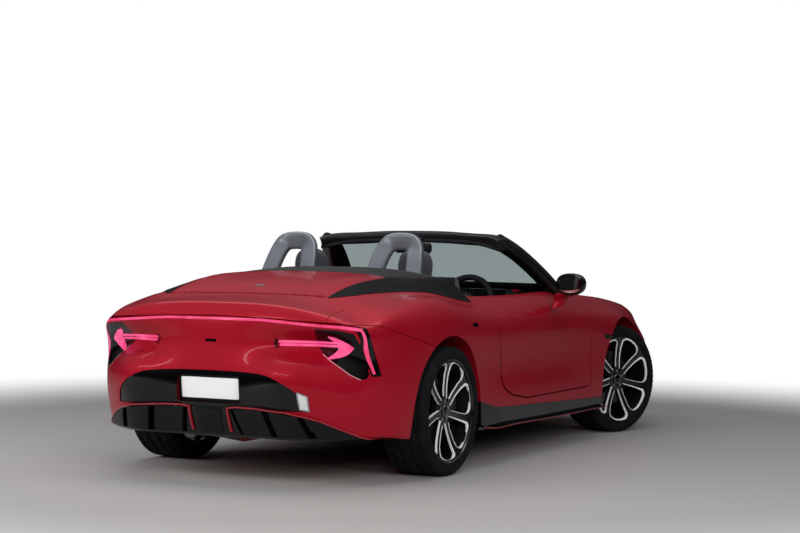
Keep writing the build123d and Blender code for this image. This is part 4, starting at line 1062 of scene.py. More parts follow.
def rounded(width, height, radius, sides=6):
    """A rounded rectangle about the origin, as (across, up) pairs."""
    points = []
    x, z = width / 2 - radius, height / 2 - radius
    for cx, cz, start in ((1, 1, 0), (-1, 1, 90), (-1, -1, 180), (1, -1, 270)):
        for i in range(sides + 1):
            a = math.radians(start + 90 * i / sides)
            points.append((cx * x + radius * math.cos(a), cz * z + radius * math.sin(a)))
    return points


def soften(thing, width_mm, segments=2, angle=35):
    """Round a piece's sharp edges."""
    bevel = thing.modifiers.new("bevel", "BEVEL")
    bevel.width, bevel.segments = width_mm * MM, segments
    bevel.limit_method, bevel.angle_limit = "ANGLE", math.radians(angle)
    bevel.harden_normals = True
    return thing


def place(mesh, where_mm, turn=(0, 0, 0)):
    """Turn a mesh by Euler degrees and move it."""
    about_x, about_y, about_z = (Matrix.Rotation(math.radians(a), 4, axis) for a, axis in zip(turn, "XYZ"))
    mesh.transform(Matrix.Translation(Vector(where_mm) * MM) @ (about_z @ about_y) @ about_x)
    return mesh


def on_plate(size, low, high):
    """A rounded slab of (width, height, corner radius) in the plate's tilted plane, between two depths along it."""
    return place(prism(rounded(*size), low, high, "x"), PLATE_PLACE, (0, PLATE_TILT, 0))


def build_plate():
    """The blank number plate on its carrier, with two small lamps over it."""
    plate = on_plate(PLATE_SIZE, -3, 3)
    soften(piece("blank_plate", plate, F["plate_white"], replaces=["number_plate"], slot="white", smooth=30), 1.2)
    rim = combine(prism(rounded(*CARRIER_SIZE), -2, 22, "x"), ("cut", prism(rounded(352, 112, 9), -9, 14, "x")))
    rim = place(rim, PLATE_PLACE, (0, PLATE_TILT, 0))
    soften(piece("plate_carrier", rim, F["black_matte"], slot="black_matte", smooth=30), 1.5)
    lamps = [prism([(y + a, 582 + b) for a, b in rounded(48, 9, 3)], -2246, -2226, "x") for y in (-62, 62)]
    soften(piece("plate_lamps", joined(*lamps), F["reflector"], slot="clear_lamp", smooth=30), 1)


def build_diffuser():
    """Fin panels, channels and the red stripe of the diffuser."""
    fins, stripes = [], []
    for side in (as_is, flipped):
        fins += [layer(side(f), -9, 10, BEHIND_X, FIN_END_X) for f in FINS]
        stripes.append(layer(side(strip(STRIPE, 4)), -12, 6, BEHIND_X, STRIPE_END_X))
    fins.append(layer([(-76, 398), (76, 398), (66, 268), (-66, 268)], -4, 10))
    centre = [layer([(y - 7, 402), (y + 7, 402), (y + 7, 411), (y - 7, 411)], -1, 8) for y in (204, -204)]
    panel("tail_centre_lamps", joined(*centre), [-1], ("reflector", "reflector"), slot="clear_lamp")
    panel("diffuser_fins", joined(*fins), [-9, -4], ("fin_grey", "fin_grey"), slot="black_gloss")
    panel("diffuser_stripe", joined(*stripes), [-12], ("red_stripe", "red_stripe"), slot="paint")


# ---------------------------------------------------------------- wheels
# local frame of a wheel: axis along y, outboard side +y, distances from the wheel's middle plane, in mm
KINGPIN_Y, KINGPIN_INSET, REAR_WHEEL_Y, STEER = 736.0, 62.0, 808.0, -20.0
TYRE_RADIUS, TYRE_PITCHES, SPOKES = 351.0, 64, 7
WHEELS = [  # corner, tyre width, axle x, side
    ("fl", 245, FRONT_AXLE_X, 1), ("fr", 245, FRONT_AXLE_X, -1),
    ("rl", 275, REAR_AXLE_X, 1), ("rr", 275, REAR_AXLE_X, -1),
]


def wheel_place(x, sign):
    """The matrix from a wheel's own frame, in metres, to the car's."""
    if x == FRONT_AXLE_X:
        turn = Matrix.Rotation(math.radians(STEER), 4, "Z")
        hub = Matrix.Translation((0, sign * KINGPIN_INSET * MM, 0))
        out = Matrix.Translation(Vector((x, sign * KINGPIN_Y, AXLE_Z)) * MM) @ turn @ hub
    else:
        out = Matrix.Translation(Vector((x, sign * REAR_WHEEL_Y, AXLE_Z)) * MM)
    return out @ Matrix.Scale(sign, 4, (0, 1, 0))


def lathe(profile, sides=128, closed=False, depth=None):
    """A surface of revolution about y; profile is (radius, along) in mm, and depth(i, j) lowers point j of row i."""
    count = len(profile)
    points, faces = [], []
    for i in range(sides):
        turn = 2 * math.pi * i / sides
        for j, (radius, along) in enumerate(profile):
            r = radius - (depth(i, j) if depth else 0)
            points.append((r * math.sin(turn) * MM, along * MM, r * math.cos(turn) * MM))
    for i in range(sides):
        a, b = i * count, (i + 1) % sides * count
        faces += [[a + j, a + j + 1, b + j + 1, b + j] for j in range(count - 1)]
        if closed:
            faces.append([a + count - 1, a, b, b + count - 1])
    return new_mesh("lathe", points, faces)


def ladder(rows, thickness):
    """A closed slab under pairs of points; rows are (left, right) points in mm, thickness along -y."""
    down = Vector((0, -thickness, 0))
    points, faces = [], []
    for left, right in rows:
        points += [Vector(left), Vector(right), Vector(right) + down, Vector(left) + down]
    for i in range(len(rows) - 1):
        a, b = 4 * i, 4 * i + 4
        faces += [[a + k, a + (k + 1) % 4, b + (k + 1) % 4, b + k] for k in range(4)]
    last = 4 * len(rows) - 4
    faces += [[3, 2, 1, 0], [last, last + 1, last + 2, last + 3]]
    return new_mesh("ladder", [tuple(p * MM) for p in points], faces)


def spun(mesh, count):
    """Copies of a mesh round the y axis, as one mesh."""
    copies = []
    for i in range(count):
        copy = mesh.copy()
        copy.transform(Matrix.Rotation(2 * math.pi * i / count, 4, "Y"))
        copies.append(copy)
    return joined(*copies)


def face_depth(radius):
    """How far out the spokes' face stands at a radius."""
    return float(np.interp(radius, FACE_RADII, FACE_OUT))


def spoke_point(radial, lateral, lift=0.0):
    """A point on the spokes' face, radial up and lateral clockwise as seen from outside on the car's right."""
    return (lateral, face_depth(math.hypot(radial, lateral)) + lift, radial)


def round_point(radius, angle, lift=0.0):
    """A point on the spokes' face at a radius and a clockwise angle in degrees."""
    turn = math.radians(angle)
    return (radius * math.sin(turn), face_depth(radius) + lift, radius * math.cos(turn))


BAND = [  # radial, window edge, width
    (66, 24, 4.4), (100, 25, 5.4), (140, 26, 6.6), (180, 28, 8), (210, 31, 9.6), (236, 35, 12), (252, 40, 15),
]
ARC = [  # angle, inner and outer radius
    (9.5, 252, 268), (12, 260, 274), (16, 264, 275.5), (22, 265, 275), (28, 265, 274), (34, 264, 272.5),
    (40, 260, 268), (44, 252, 259), (46.4, 240, 246), (47.4, 228, 233),
]
THIN_EDGE = [(80, -13), (120, -13.5), (160, -14), (200, -15), (234, -16.5)]  # radial, lateral
FACE_RADII, FACE_OUT = [0, 60, 120, 200, 262, 276], [90, 89, 87, 95, 113, 117]
GROOVES = [(-0.33, 5), (-0.115, 6), (0.115, 6), (0.33, 5)]  # share of the width, half width in mm
GROOVE_DEPTH, SHOULDER_DEPTH, SIPE_DEPTH = 8, 4.5, 1.5
SHOULDER_DROP = 16  # the tread ends where the tyre is this much smaller than its full radius
SIDEWALL = [  # below the full radius, share of the width
    (7.5, 0.445), (14, 0.468), (24, 0.484), (26, 0.4835), (27, 0.4875), (40, 0.4965), (55, 0.494), (56, 0.489),
    (57, 0.4885), (58, 0.492), (66, 0.484), (68, 0.474), (69, 0.45), (75, 0.43), (83, 0.42), (87, 0.41),
]
HUB = [(0, 40), (80, 40), (80, 66), (72, 80), (62, 84), (40, 84), (36, 80), (33, 80), (30, 92), (0, 92)]
CAP = [(0, 96), (20, 95.5), (25, 94), (27, 92), (27.5, 88), (20, 86), (0, 86)]
CAP_RING = [(27.5, 90), (29, 94.5), (31, 95), (32.5, 93), (32.5, 88), (27.5, 88)]
DISC = [
    (178, -14), (178, -4), (172, -2), (172, 4), (178, 6), (178, 16), (112, 16), (108, 18), (108, 30), (36, 30),
    (36, 24), (98, 24), (100, -14),
]


def tyre_mesh(width):
    """A tyre with its grooves, in its wheel's own frame."""
    crown = [(TYRE_RADIUS - 3.2 * abs(2 * s) ** 2.6, s * width) for s in np.linspace(-0.41, 0.41, 42)]
    tread = []
    for r, along in crown:
        inside = any(abs(along - g * width) < w for g, w in GROOVES)
        tread.append((r - (GROOVE_DEPTH if inside else 0), along))
    wall = [(TYRE_RADIUS - drop, share * width) for drop, share in SIDEWALL]
    profile = [(r, -a) for r, a in wall[::-1]] + tread + wall
    least = TYRE_RADIUS - SHOULDER_DROP
    shoulder = [0.17 < abs(a) / width < 0.47 and r > least for r, a in profile]

    def notch(i, j):
        """Cross grooves of the tread, slanted, deep on the shoulders and fine in the middle."""
        r, along = profile[j]
        if r < least:
            return 0
        shift = int(round(abs(along) / width * 6))
        if shoulder[j]:
            return SHOULDER_DEPTH if (i + shift) % 5 == 0 else 0
        return SIPE_DEPTH if (i + 2 * shift) % 10 == 0 else 0

    return lathe(profile, TYRE_PITCHES * 5, True, notch)


def rim_mesh(out):
    """The rim's barrel with its lips at out from the middle plane, the spokes' backs, their ring and the hub."""
    barrel = [
        (254, -out), (270, -out), (272, -out + 3), (272, -out + 8), (264, -out + 14), (262.5, 0), (266, out - 22),
        (279, out - 12), (282, out - 4), (281, out), (278, out), (276, out - 3), (273, out - 12), (266, 70),
        (256, 30), (250, -out + 20),
    ]
    rows = []
    for r, edge, w in [(44, 24, 4)] + BAND:
        rows.append((spoke_point(r, -14 - 4 * (r > 225), -3), spoke_point(r, edge - w + 2, -3)))
    rows.append((round_point(276, -5, -3), round_point(276, 10, -3)))
    ring = [(round_point(266, a, -3), round_point(278, a, -3)) for a in np.linspace(8, 51, 10)]
    spokes = [spun(ladder(rows, 34), SPOKES), spun(ladder(ring, 22), SPOKES)]
    return joined(lathe(barrel, 128, True), *spokes, lathe(HUB, 96))


def build_wheel(corner, width, x, sign):
    """One wheel: tyre, rim with its bands, cap and nuts, and brake disc."""
    matrix = wheel_place(x, sign)

    def put(name, mesh, key, **how):
        """Put a mesh of the wheel's own frame on the car."""
        mesh.transform(matrix)
        if sign < 0:
            mesh.flip_normals()
        return piece(name + "_" + corner, mesh, F[key], body="wheel_" + corner, **how)

    put("tyre_skin", tyre_mesh(width), "tyre", replaces=["tyre_" + corner], slot="tyre", smooth=28)
    rim, replaced = rim_mesh(width / 2 - 10), ["rim_" + corner]
    soften(put("rim_black", rim, "wheel_black", replaces=replaced, slot="black_gloss", smooth=32), 1.2, 2, 40)
    bands = [(spoke_point(r, edge - w), spoke_point(r, edge)) for r, edge, w in BAND]
    bands += [(round_point(far, a), round_point(near, a)) for a, near, far in ARC]
    thin = ladder([(spoke_point(r, lateral - 1.5), spoke_point(r, lateral + 1.5)) for r, lateral in THIN_EDGE], 8)
    bands = spun(joined(ladder(bands, 10), thin), SPOKES)
    soften(put("rim_bands", bands, "diamond_cut", slot="alloy", smooth=30), 0.8, 2, 40)
    ribs = []
    for low, high in ((-7, -4), (5, 8)):
        rows = [(spoke_point(r, low, -0.5), spoke_point(r, high, -0.5)) for r in (70, 120, 170, 215, 248)]
        ribs.append(ladder(rows, 9))
    soften(put("rim_ribs", spun(joined(*ribs), SPOKES), "wheel_grey", slot="black_gloss", smooth=30), 1.5, 2, 40)
    put("cap", lathe(CAP, 64), "black_gloss", slot="black_gloss", smooth=40)
    hexagon = [math.radians(60 * i) for i in range(6)]
    nut = prism([(9 * math.cos(a), 9 * math.sin(a) + 50) for a in hexagon], 70, 88, "y")
    nuts = joined(spun(nut, 5), lathe(CAP_RING, 64, True))
    soften(put("nuts", nuts, "silver", slot="alloy", smooth=30), 1.5)
    put("disc_turned", lathe(DISC, 120, True), "cast_iron", replaces=["disc_" + corner], slot="steel", smooth=30)


def build_wheels():
    """All four wheels."""
    for corner, width, x, sign in WHEELS:
        build_wheel(corner, width, x, sign)


# ---------------------------------------------------------------- glass, hoops, mirrors, covers, sills
def sweep(path, section, up=(0, 0, 1), closed=False):
    """A section of (side, up) pairs, or one such section for each point, carried along a path in mm."""
    path = [Vector(p) for p in path]
    sections = section if isinstance(section[0][0], (tuple, list)) else [section] * len(path)
    points, count = [], len(sections[0])
    for i, p in enumerate(path):
        ahead = path[(i + 1) % len(path)] if closed or i + 1 < len(path) else p
        behind = path[i - 1] if closed or i else p
        along = (ahead - behind).normalized()
        side = along.cross(Vector(up)).normalized()
        top = side.cross(along)
        points += [tuple((p + side * a + top * b) * MM) for a, b in sections[i]]
    return tube("sweep", points, count, closed)


def smooth_path(points, count=40):
    """More points along a smooth line through the given ones."""
    points = np.array(points, float)
    along = np.r_[0, np.cumsum(np.linalg.norm(np.diff(points, axis=0), axis=1))]
    return [tuple(p) for p in spline(along, points, np.linspace(0, along[-1], count))]


def oval(width, height, power=2.6, sides=24):
    """A superellipse as (side, up) pairs."""
    out = []
    for i in range(sides):
        a = 2 * math.pi * i / sides
        c, s = math.cos(a), math.sin(a)
        side, up = (math.copysign(abs(v) ** (2 / power), v) for v in (c, s))
        out.append((width / 2 * side, height / 2 * up))
    return out


SCREEN_BASE = [(529, 780, 952), (600, 640, 948), (672, 400, 946), (722, 150, 946), (730, 0, 946)]
SCREEN_TOP = [(52, 610, 1262), (104, 440, 1283), (142, 220, 1294), (152, 0, 1297)]
GLASS_ROWS, GLASS_COLUMNS, GLASS_BULGE = 16, 41, 26
PILLAR = [(560, 786, 935), (529, 782, 955), (420, 752, 1036), (290, 706, 1128), (160, 657, 1208), (52, 608, 1262)]


def mirrored_path(half):
    """A path from the left to the middle, carried on to the right."""
    return list(half) + [(x, -y, z) for x, y, z in reversed(half) if y]


def glass_points():
    """The pane's points in metres: all of its outer face, then all of its inner face."""
    low, high = (np.array(smooth_path(mirrored_path(line), GLASS_COLUMNS)) for line in (SCREEN_BASE, SCREEN_TOP))
    points = []
    for k in range(2):
        for i in range(GLASS_ROWS):
            t = i / (GLASS_ROWS - 1)
            bulge = GLASS_BULGE * 4 * t * (1 - t)
            for a, b in zip(low, high):
                p = a + (b - a) * t + np.array([bulge * 0.62, 0, bulge * 0.78]) - np.array([3, 0, 4.0]) * k
                points.append(tuple(p * MM))
    return points


def build_glass():
    """Windscreen glass with its printed border."""
    points, rows, n = glass_points(), GLASS_ROWS, GLASS_COLUMNS
    size = rows * n
    faces, border = [], []
    for i in range(rows - 1):
        for j in range(n - 1):
            a = i * n + j
            faces += [[a, a + 1, a + n + 1, a + n], [size + a, size + a + n, size + a + n + 1, size + a + 1]]
            if i < 2 or i >= rows - 3 or j < 3 or j >= n - 4:
                border.append([a, a + 1, a + n + 1, a + n])
    bottom, top = list(range(n)), [(rows - 1) * n + j for j in range(n - 2, -1, -1)]
    right, left = [i * n + n - 1 for i in range(1, rows)], [i * n for i in range(rows - 2, 0, -1)]
    ring = bottom + right + top + left
    faces += [[ring[i], ring[i - 1], ring[i - 1] + size, ring[i] + size] for i in range(len(ring))]
    pane = new_mesh("pane", points, faces)
    piece("windscreen_pane", pane, F["glass"], replaces=["windscreen_glass"], slot="glass", smooth=60)
    inner = new_mesh("border", [tuple(Vector(p) - Vector((0.0045, 0, 0.006))) for p in points[:size]], border)
    printed = piece("windscreen_border", inner, F["black_matte"], slot="black_matte", smooth=60)
    printed.modifiers.new("thickness", "SOLIDIFY").thickness = 0.0015


def build_screen():
    """Windscreen frame, glass and the mirror inside."""
    header = smooth_path(mirrored_path([(x, y, z - 14) for x, y, z in [(40, 630, 1253)] + SCREEN_TOP]), 48)
    parts = [sweep(header, oval(84, 74, 3.2))]
    for sign in (1, -1):
        path = smooth_path([(x, (y - 20) * sign, z) for x, y, z in PILLAR], 24)
        parts.append(sweep(path, oval(88, 84, 3.2), up=(1, 0, 0.55)))
    base = smooth_path(mirrored_path(SCREEN_BASE), 48)
    parts.append(sweep([(x + 6, y, z - 16) for x, y, z in base], oval(46, 26, 3.0)))
    surround, replaced = joined(*parts), ["windscreen_frame"]
    piece("windscreen_surround", surround, F["frame_black"], replaces=replaced, slot="black_gloss", smooth=40)
    edge = smooth_path(mirrored_path([(78, 618, 1240)] + [(x + 22, y, z - 6) for x, y, z in SCREEN_TOP[1:]]), 48)
    seal = sweep([(x - 62, y, z - 30) for x, y, z in edge], oval(14, 22, 2.4))
    piece("header_seal", seal, F["rubber"], slot="black_matte", smooth=40)
    build_glass()
    line = [(96, -125, 1212), (90, -118, 1212), (88, 0, 1214), (90, 118, 1212), (96, 125, 1212)]
    shell = sweep(line, [oval(10, 30), oval(28, 62), oval(36, 70), oval(28, 62), oval(10, 30)])
    stem = sweep([(92, 0, 1235), (112, 0, 1262), (124, 0, 1278)], oval(26, 26))
    pod = sweep([(126, -60, 1268), (126, 0, 1266), (126, 60, 1268)], [oval(50, 30), oval(70, 44), oval(50, 30)])
    soften(piece("inner_mirror", joined(shell, stem, pod), F["black_matte"], slot="black_matte", smooth=50), 2)


HOOP_Y = 350  # middle of a hoop
HOOP_PATH = [  # the outer half, foot to crown
    (-850, 478, 1062), (-822, 469, 1120), (-790, 457, 1180), (-766, 443, 1222), (-752, 420, 1249), (-746, 386, 1258),
    (-745, 350, 1260),
]


def build_hoops():
    """The two roll hoops: broad satin bands, legs leaning together, with a trim foot."""
    parts = []
    for sign in (1, -1):
        half = [(x, y - HOOP_Y, z) for x, y, z in HOOP_PATH]
        path = smooth_path(half + [(x, -y, z) for x, y, z in reversed(half[:-1])], 56)
        path = [(x, y + HOOP_Y * sign, z) for x, y, z in path]
        parts.append(sweep(path, oval(104, 48, 4.0), up=(-1, 0, 0.02)))
    piece("roll_hoop_bands", joined(*parts), F["hoop_silver"], replaces=["roll_hoops"], slot="silver", smooth=50)
    feet = []
    for sign in (1, -1):
        for y, z in ((478, 1064), (222, 1096)):
            feet.append(place(prism(rounded(118, 74, 24), -14, 8, "z"), (-852, y * sign, z)))
    soften(piece("hoop_feet", joined(*feet), F["black_matte"], slot="black_matte", smooth=40), 4)


MIRROR_Y, MIRROR_Z = 1012, 1004
MIRROR_RINGS = [  # x, z, width, height
    (176, 1004, 158, 112), (186, 1004, 176, 130), (208, 1004, 178, 134), (244, 1005, 168, 126), (278, 1003, 144, 110),
    (304, 1000, 108, 84), (320, 998, 56, 42),
]
MIRROR_ARM = [(268, 880, 868), (264, 904, 900), (256, 934, 924), (248, 966, 938), (244, 994, 948)]


def mirror_oval(width, height):
    """A section of the door mirror."""
    return oval(width, height, 2.5, 40)


def build_mirrors():
    """Door mirrors: black shell, glass, a red arm down to the door and a repeater lamp."""
    for side, sign in SIDES:
        y, rides = sign * MIRROR_Y, "door_" + side
        body = sweep([(x, y, z) for x, z, w, h in MIRROR_RINGS], [mirror_oval(w, h) for x, z, w, h in MIRROR_RINGS])
        hollow = sweep([(x, y, MIRROR_Z) for x in (150, 180, 196)], [mirror_oval(152, 106)] * 3)
        shell = combine(body, ("cut", hollow))
        name = "mirror_shell_" + side
        piece(name, shell, F["black_gloss"], body=rides, replaces=["mirror_" + side], slot="black_gloss", smooth=35)
        sections = [mirror_oval(146, 100), mirror_oval(150, 104), mirror_oval(150, 104)]
        glass = sweep([(x, y, MIRROR_Z) for x in (188, 190, 195)], sections)
        piece("mirror_glass_" + side, glass, F["mirror"], body=rides, slot="glass", smooth=30)
        arm = smooth_path([(x, sign * out, z) for x, out, z in MIRROR_ARM], 16)
        widths = np.interp(np.linspace(0, 1, 16), [0, 0.3, 1], [120, 84, 66])
        stalk = sweep(arm, [oval(w, 34, 2.6) for w in widths], up=(0, sign * 0.7, 0.7))
        piece("mirror_arm_" + side, stalk, F["paint"], body=rides, slot="paint", smooth=40)
        strip_lamp = sweep([(306, sign * 962, 984), (315, sign * 1006, 986), (300, sign * 1052, 992)], oval(8, 8))
        piece("mirror_repeater_" + side, strip_lamp, F["reflector"], body=rides, slot="clear_lamp", smooth=40)


WEDGE = [  # seen from above: its outer edge forward, then its inner edge back
    (-1886, 503), (-1840, 552), (-1760, 602), (-1660, 625), (-1538, 643), (-1377, 674), (-1290, 700), (-1203, 729),
    (-1120, 762), (-1059, 780), (-960, 790), (-845, 795), (-752, 800),
    (-752, 644), (-1000, 644), (-1272, 531), (-1322, 531), (-1868, 499),
]
VENT = [(1002, 668), (1132, 650), (1148, 640), (1132, 631), (1030, 628)]


def build_covers():
    """Black wedges and waist fairings round the lid and the folded top, the release buttons and the side vents."""
    wedges = [layer([(x, y * sign) for x, y in WEDGE], -2.5, 9, 700, FAR, "z") for sign in (1, -1)]
    panel("cover_surround", joined(*wedges), [-2.5], ("cover_black", "black_matte"), slot="black_matte")
    for side, sign in SIDES:
        button = [(-950 + 44 * math.cos(a) - 4 * math.sin(a), 804 + 13 * math.sin(a)) for a in turns(32)]
        low, high = side_span(sign, 700, 1000)
        release = layer(button, -0.8, 6, low, high, "y")
        panel("release_" + side, release, [-0.8], ("black_gloss", "black_gloss"), slot="black_gloss")
        vent = layer(VENT, -1.2, 9, low, high, "y")
        panel("fender_vent_" + side, vent, [-1.2], ("black_gloss", "liner_and_hollow_shade"), slot="black_gloss")


SKIRT_LINE = [(-890, 372), (-642, 322), (-400, 311), (-36, 299), (400, 281), (940, 262), (1000, 262)]
SKIRT_FOOT = [(-905, 925, 236), (-820, 934, 222), (-560, 930, 213), (0, 922, 205), (600, 920, 201), (985, 922, 200)]
WINGLET = [(-905, 372), (-760, 338), (-620, 300), (-640, 236), (-900, 232)]


def build_sills():
    """Black skirts along the sills with a red edge line and a winglet before each rear wheel."""
    skirts, edges = [], []
    outline = SKIRT_LINE + [(1000, 150), (-890, 150)]
    for sign in (1, -1):
        skirts.append(layer(outline, -5, 30, *side_span(sign, 800, 1000), "y"))
        path = smooth_path([(x, sign * y, z) for x, y, z in SKIRT_FOOT], 40)
        flare = [max(0, 1 - i / 9) for i in range(40)]
        skirts.append(sweep(path, [oval(40 + 26 * f, 12, 3) for f in flare]))
        line = [(x, y + sign * (21 + 12 * f), z - 1) for f, (x, y, z) in zip(flare, path)]
        edges.append(sweep(line, oval(5, 5, 2.5, 10)))
        fin = prism(WINGLET, *side_span(sign, 905, 935), "y")
        skirts.append(combine(fin, ("cut", block((-2000, -780, -10), (1000, 780, 500)))))
    blades, keys = joined(*skirts), ("black_gloss", "black_gloss")
    panel("skirt_blades", blades, [-5], keys, replaces=["side_skirts"], slot="black_gloss")
    piece("skirt_lines", joined(*edges), F["red_stripe"], slot="paint", smooth=40)


NOSE_X = 1700  # lamps and intake are cut ahead of this
HEADLAMP = [(430, 632), (700, 622), (762, 560), (700, 552), (446, 588)]
HEADLAMP_HOLLOW = [(424, 638), (704, 628), (770, 560), (702, 546), (440, 582)]
INTAKE = [(0, 405), (500, 405), (590, 330), (530, 258), (0, 252)]
INTAKE_HOLLOW = [(0, 411), (503, 411), (597, 330), (534, 252), (0, 246)]


def build_nose():
    """Headlamps, day-running lines and the intake's mesh."""
    lamps, lines = [], []
    for side in (as_is, flipped):
        lamps.append(layer(side(HEADLAMP), 2, 12, NOSE_X, AHEAD_X))
        line = strip([(446, 620), (694, 611), (744, 562)], 5)
        lines.append(layer(side(line), -0.5, 8, NOSE_X, AHEAD_X))
    lenses = joined(*lamps)
    panel("headlamp_lenses", lenses, [2], ("lamp_clear", "black_gloss"), replaces=["headlamps"], slot="clear_lamp")
    panel("headlamp_lines", joined(*lines), [-0.5], ("reflector", "reflector"), slot="clear_lamp")
    intake = layer(whole(INTAKE), 3, 14, NOSE_X, AHEAD_X)
    panel("intake_mesh", intake, [3], ("mesh", "liner_and_hollow_shade"), replaces=["grille"], slot="black_matte")


def nose_hollows():
    """Cutters for the lamps and the intake."""
    hollows = [layer(side(HEADLAMP_HOLLOW), -4, 13, NOSE_X, AHEAD_X) for side in (as_is, flipped)]
    return hollows + [layer(whole(INTAKE_HOLLOW), -4, 16, NOSE_X, AHEAD_X)]


# ---------------------------------------------------------------- cabin
SEAT_Y = 350.0
BACK = [  # centre x, centre z, half width, half thickness, lean in degrees from upright
    (-385, 470, 150, 40, 20), (-395, 500, 225, 66, 20), (-412, 560, 250, 78, 20), (-435, 640, 256, 76, 20),
    (-462, 740, 250, 70, 19), (-504, 850, 232, 60, 22), (-540, 930, 198, 52, 22), (-562, 985, 150, 44, 20),
    (-572, 1012, 112, 30, 18), (-577, 1024, 56, 12, 18),
]
CUSHION = [  # centre x, centre z, half width, half thickness, lean
    (-400, 455, 160, 36, 92), (-370, 452, 225, 60, 92), (-300, 448, 246, 68, 90), (-160, 450, 248, 66, 88),
    (0, 458, 246, 66, 86), (80, 464, 240, 62, 84), (124, 464, 222, 48, 84), (142, 460, 190, 26, 84),
    (148, 458, 150, 8, 84),
]
REST = [  # the same for the head restraint
    (-566, 1014, 50, 20, 14), (-568, 1028, 82, 32, 13), (-570, 1058, 100, 42, 12), (-572, 1104, 106, 46, 11),
    (-574, 1150, 102, 44, 10), (-576, 1184, 86, 37, 9), (-577, 1202, 58, 26, 8), (-578, 1211, 28, 12, 8),
]


FLUTE_PITCH, FLUTE_EDGE = 58, 0.62  # mm, share of the half width
SEAM_DEPTH, SEAM_WIDTH = 3.2, 4.5


def pad(stations, across_mm, seams, bolster=0.0, flutes=0.0, count=64):
    """A stuffed form along a spine: crowned, with side bolsters, stitched seams along it and flutes across it."""
    table = np.array(stations, float)
    along = np.r_[0, np.cumsum(np.hypot(np.diff(table[:, 0]), np.diff(table[:, 1])))]
    rows = max(24, int(along[-1] / 9))
    at = np.linspace(0, along[-1], rows)
    fine = np.stack([np.interp(at, along, table[:, k]) for k in range(5)], 1)
    for k in range(2, 4):
        fine[:, k] = spline(along, table[:, k], at)
    points = []
    for row, (x, z, width, thick, lean) in enumerate(fine):
        tilt = math.radians(lean)
        front = Vector((math.cos(tilt), 0, math.sin(tilt)))
        for i in range(count):
            a = 2 * math.pi * i / count
            c, s = math.cos(a), math.sin(a)
            y = max(width, 4) * math.copysign(abs(c) ** 0.72, c)
            out = max(thick, 4) * math.copysign(abs(s) ** 0.62, s)
            share = abs(y) / max(width, 4)
            if s > 0:
                out += bolster * thick * (share**3 - 0.35) * min(1, at[row] / 60, (along[-1] - at[row]) / 60)
                flute = 1 - abs(math.sin(math.pi * at[row] / FLUTE_PITCH)) ** 0.35
                out -= flutes * flute * (share < FLUTE_EDGE)
            for seam in seams:
                out -= math.copysign(SEAM_DEPTH, s) * math.exp(-(((share - seam) * width / SEAM_WIDTH) ** 2))
            points.append(tuple((Vector((x, across_mm + y, z)) + front * out) * MM))
    return tube("pad", points, count)


def build_seats():
    """Two seats with bolsters, seams and separate head restraints."""
    for side, y in (("left", SEAT_Y), ("right", -SEAT_Y)):
        soft = joined(pad(BACK, y, (0.62,), 0.5, 4.0), pad(CUSHION, y, (0.62,), 0.5, 4.0))
        seat = piece("seat_padding_" + side, soft, F["leather"], replaces=["seat_" + side], slot="leather", smooth=50)
        rest = piece("head_restraint_" + side, pad(REST, y, (0.8,), 0.0), F["leather"], slot="leather", smooth=50)
        shell = [prism([(-470, 440), (-590, 1000), (-560, 1020), (-430, 430)], y - 215, y + 215, "y")]
        shell.append(prism([(-440, 310), (110, 310), (120, 400), (-460, 420)], y - 225, y + 225, "y"))
        soften(piece("seat_shell_" + side, joined(*shell), F["trim_plastic"], slot="black_matte", smooth=30), 14, 4)


DASH_OUTLINE = [
    (640, 560), (640, 905), (600, 926), (540, 934), (480, 926), (440, 900), (420, 860), (424, 800), (446, 760),
    (452, 700), (470, 600), (480, 560),
]
DASH_HALF, DASH_SECTIONS, DASH_BOW, HOOD_HEIGHT, HOOD_HALF = 742, 41, 34, 26, 150
CONSOLE = [
    (-740, 302), (-740, 520), (-500, 560), (-260, 556), (-80, 520), (200, 528), (330, 600), (450, 720), (470, 560),
    (470, 302),
]
ARMREST = [  # as for the seats
    (-500, 566, 40, 4, 90), (-490, 568, 62, 14, 90), (-380, 570, 68, 18, 90), (-280, 566, 64, 15, 90),
    (-268, 564, 44, 5, 90),
]
KNOB = [(0, 18), (20, 17), (25, 12), (26, 0), (0, 0)]
SELECTOR = [(-60, 528), (-40, 566), (-22, 566), (-30, 522)]
DOOR_CARD = [(-560, 440), (-500, 660), (-600, 800), (-700, 900), (400, 900), (540, 800), (600, 440)]
DOOR_RAIL = [(-520, 728, 690), (-200, 712, 712), (200, 710, 722), (560, 730, 760)]


def dash_mesh():
    """The dashboard's top: bowed across the car, with a hood over the instruments."""
    points = []
    for i in range(DASH_SECTIONS):
        y = -DASH_HALF + 2 * DASH_HALF * i / (DASH_SECTIONS - 1)
        hood = HOOD_HEIGHT * math.exp(-(((y + SEAT_Y) / HOOD_HALF) ** 4))
        bow = DASH_BOW * (1 - (y / DASH_HALF) ** 2)
        for x, z in DASH_OUTLINE:
            top = max(0, (z - 860) / 74)
            forward = bow * 0.6 - hood * 0.9 * top if x < 600 else 0
            up = hood * top - 14 * top * (y / DASH_HALF) ** 2
            points.append(((x + forward) * MM, y * MM, (z + up) * MM))
    return tube("dash", points, len(DASH_OUTLINE))


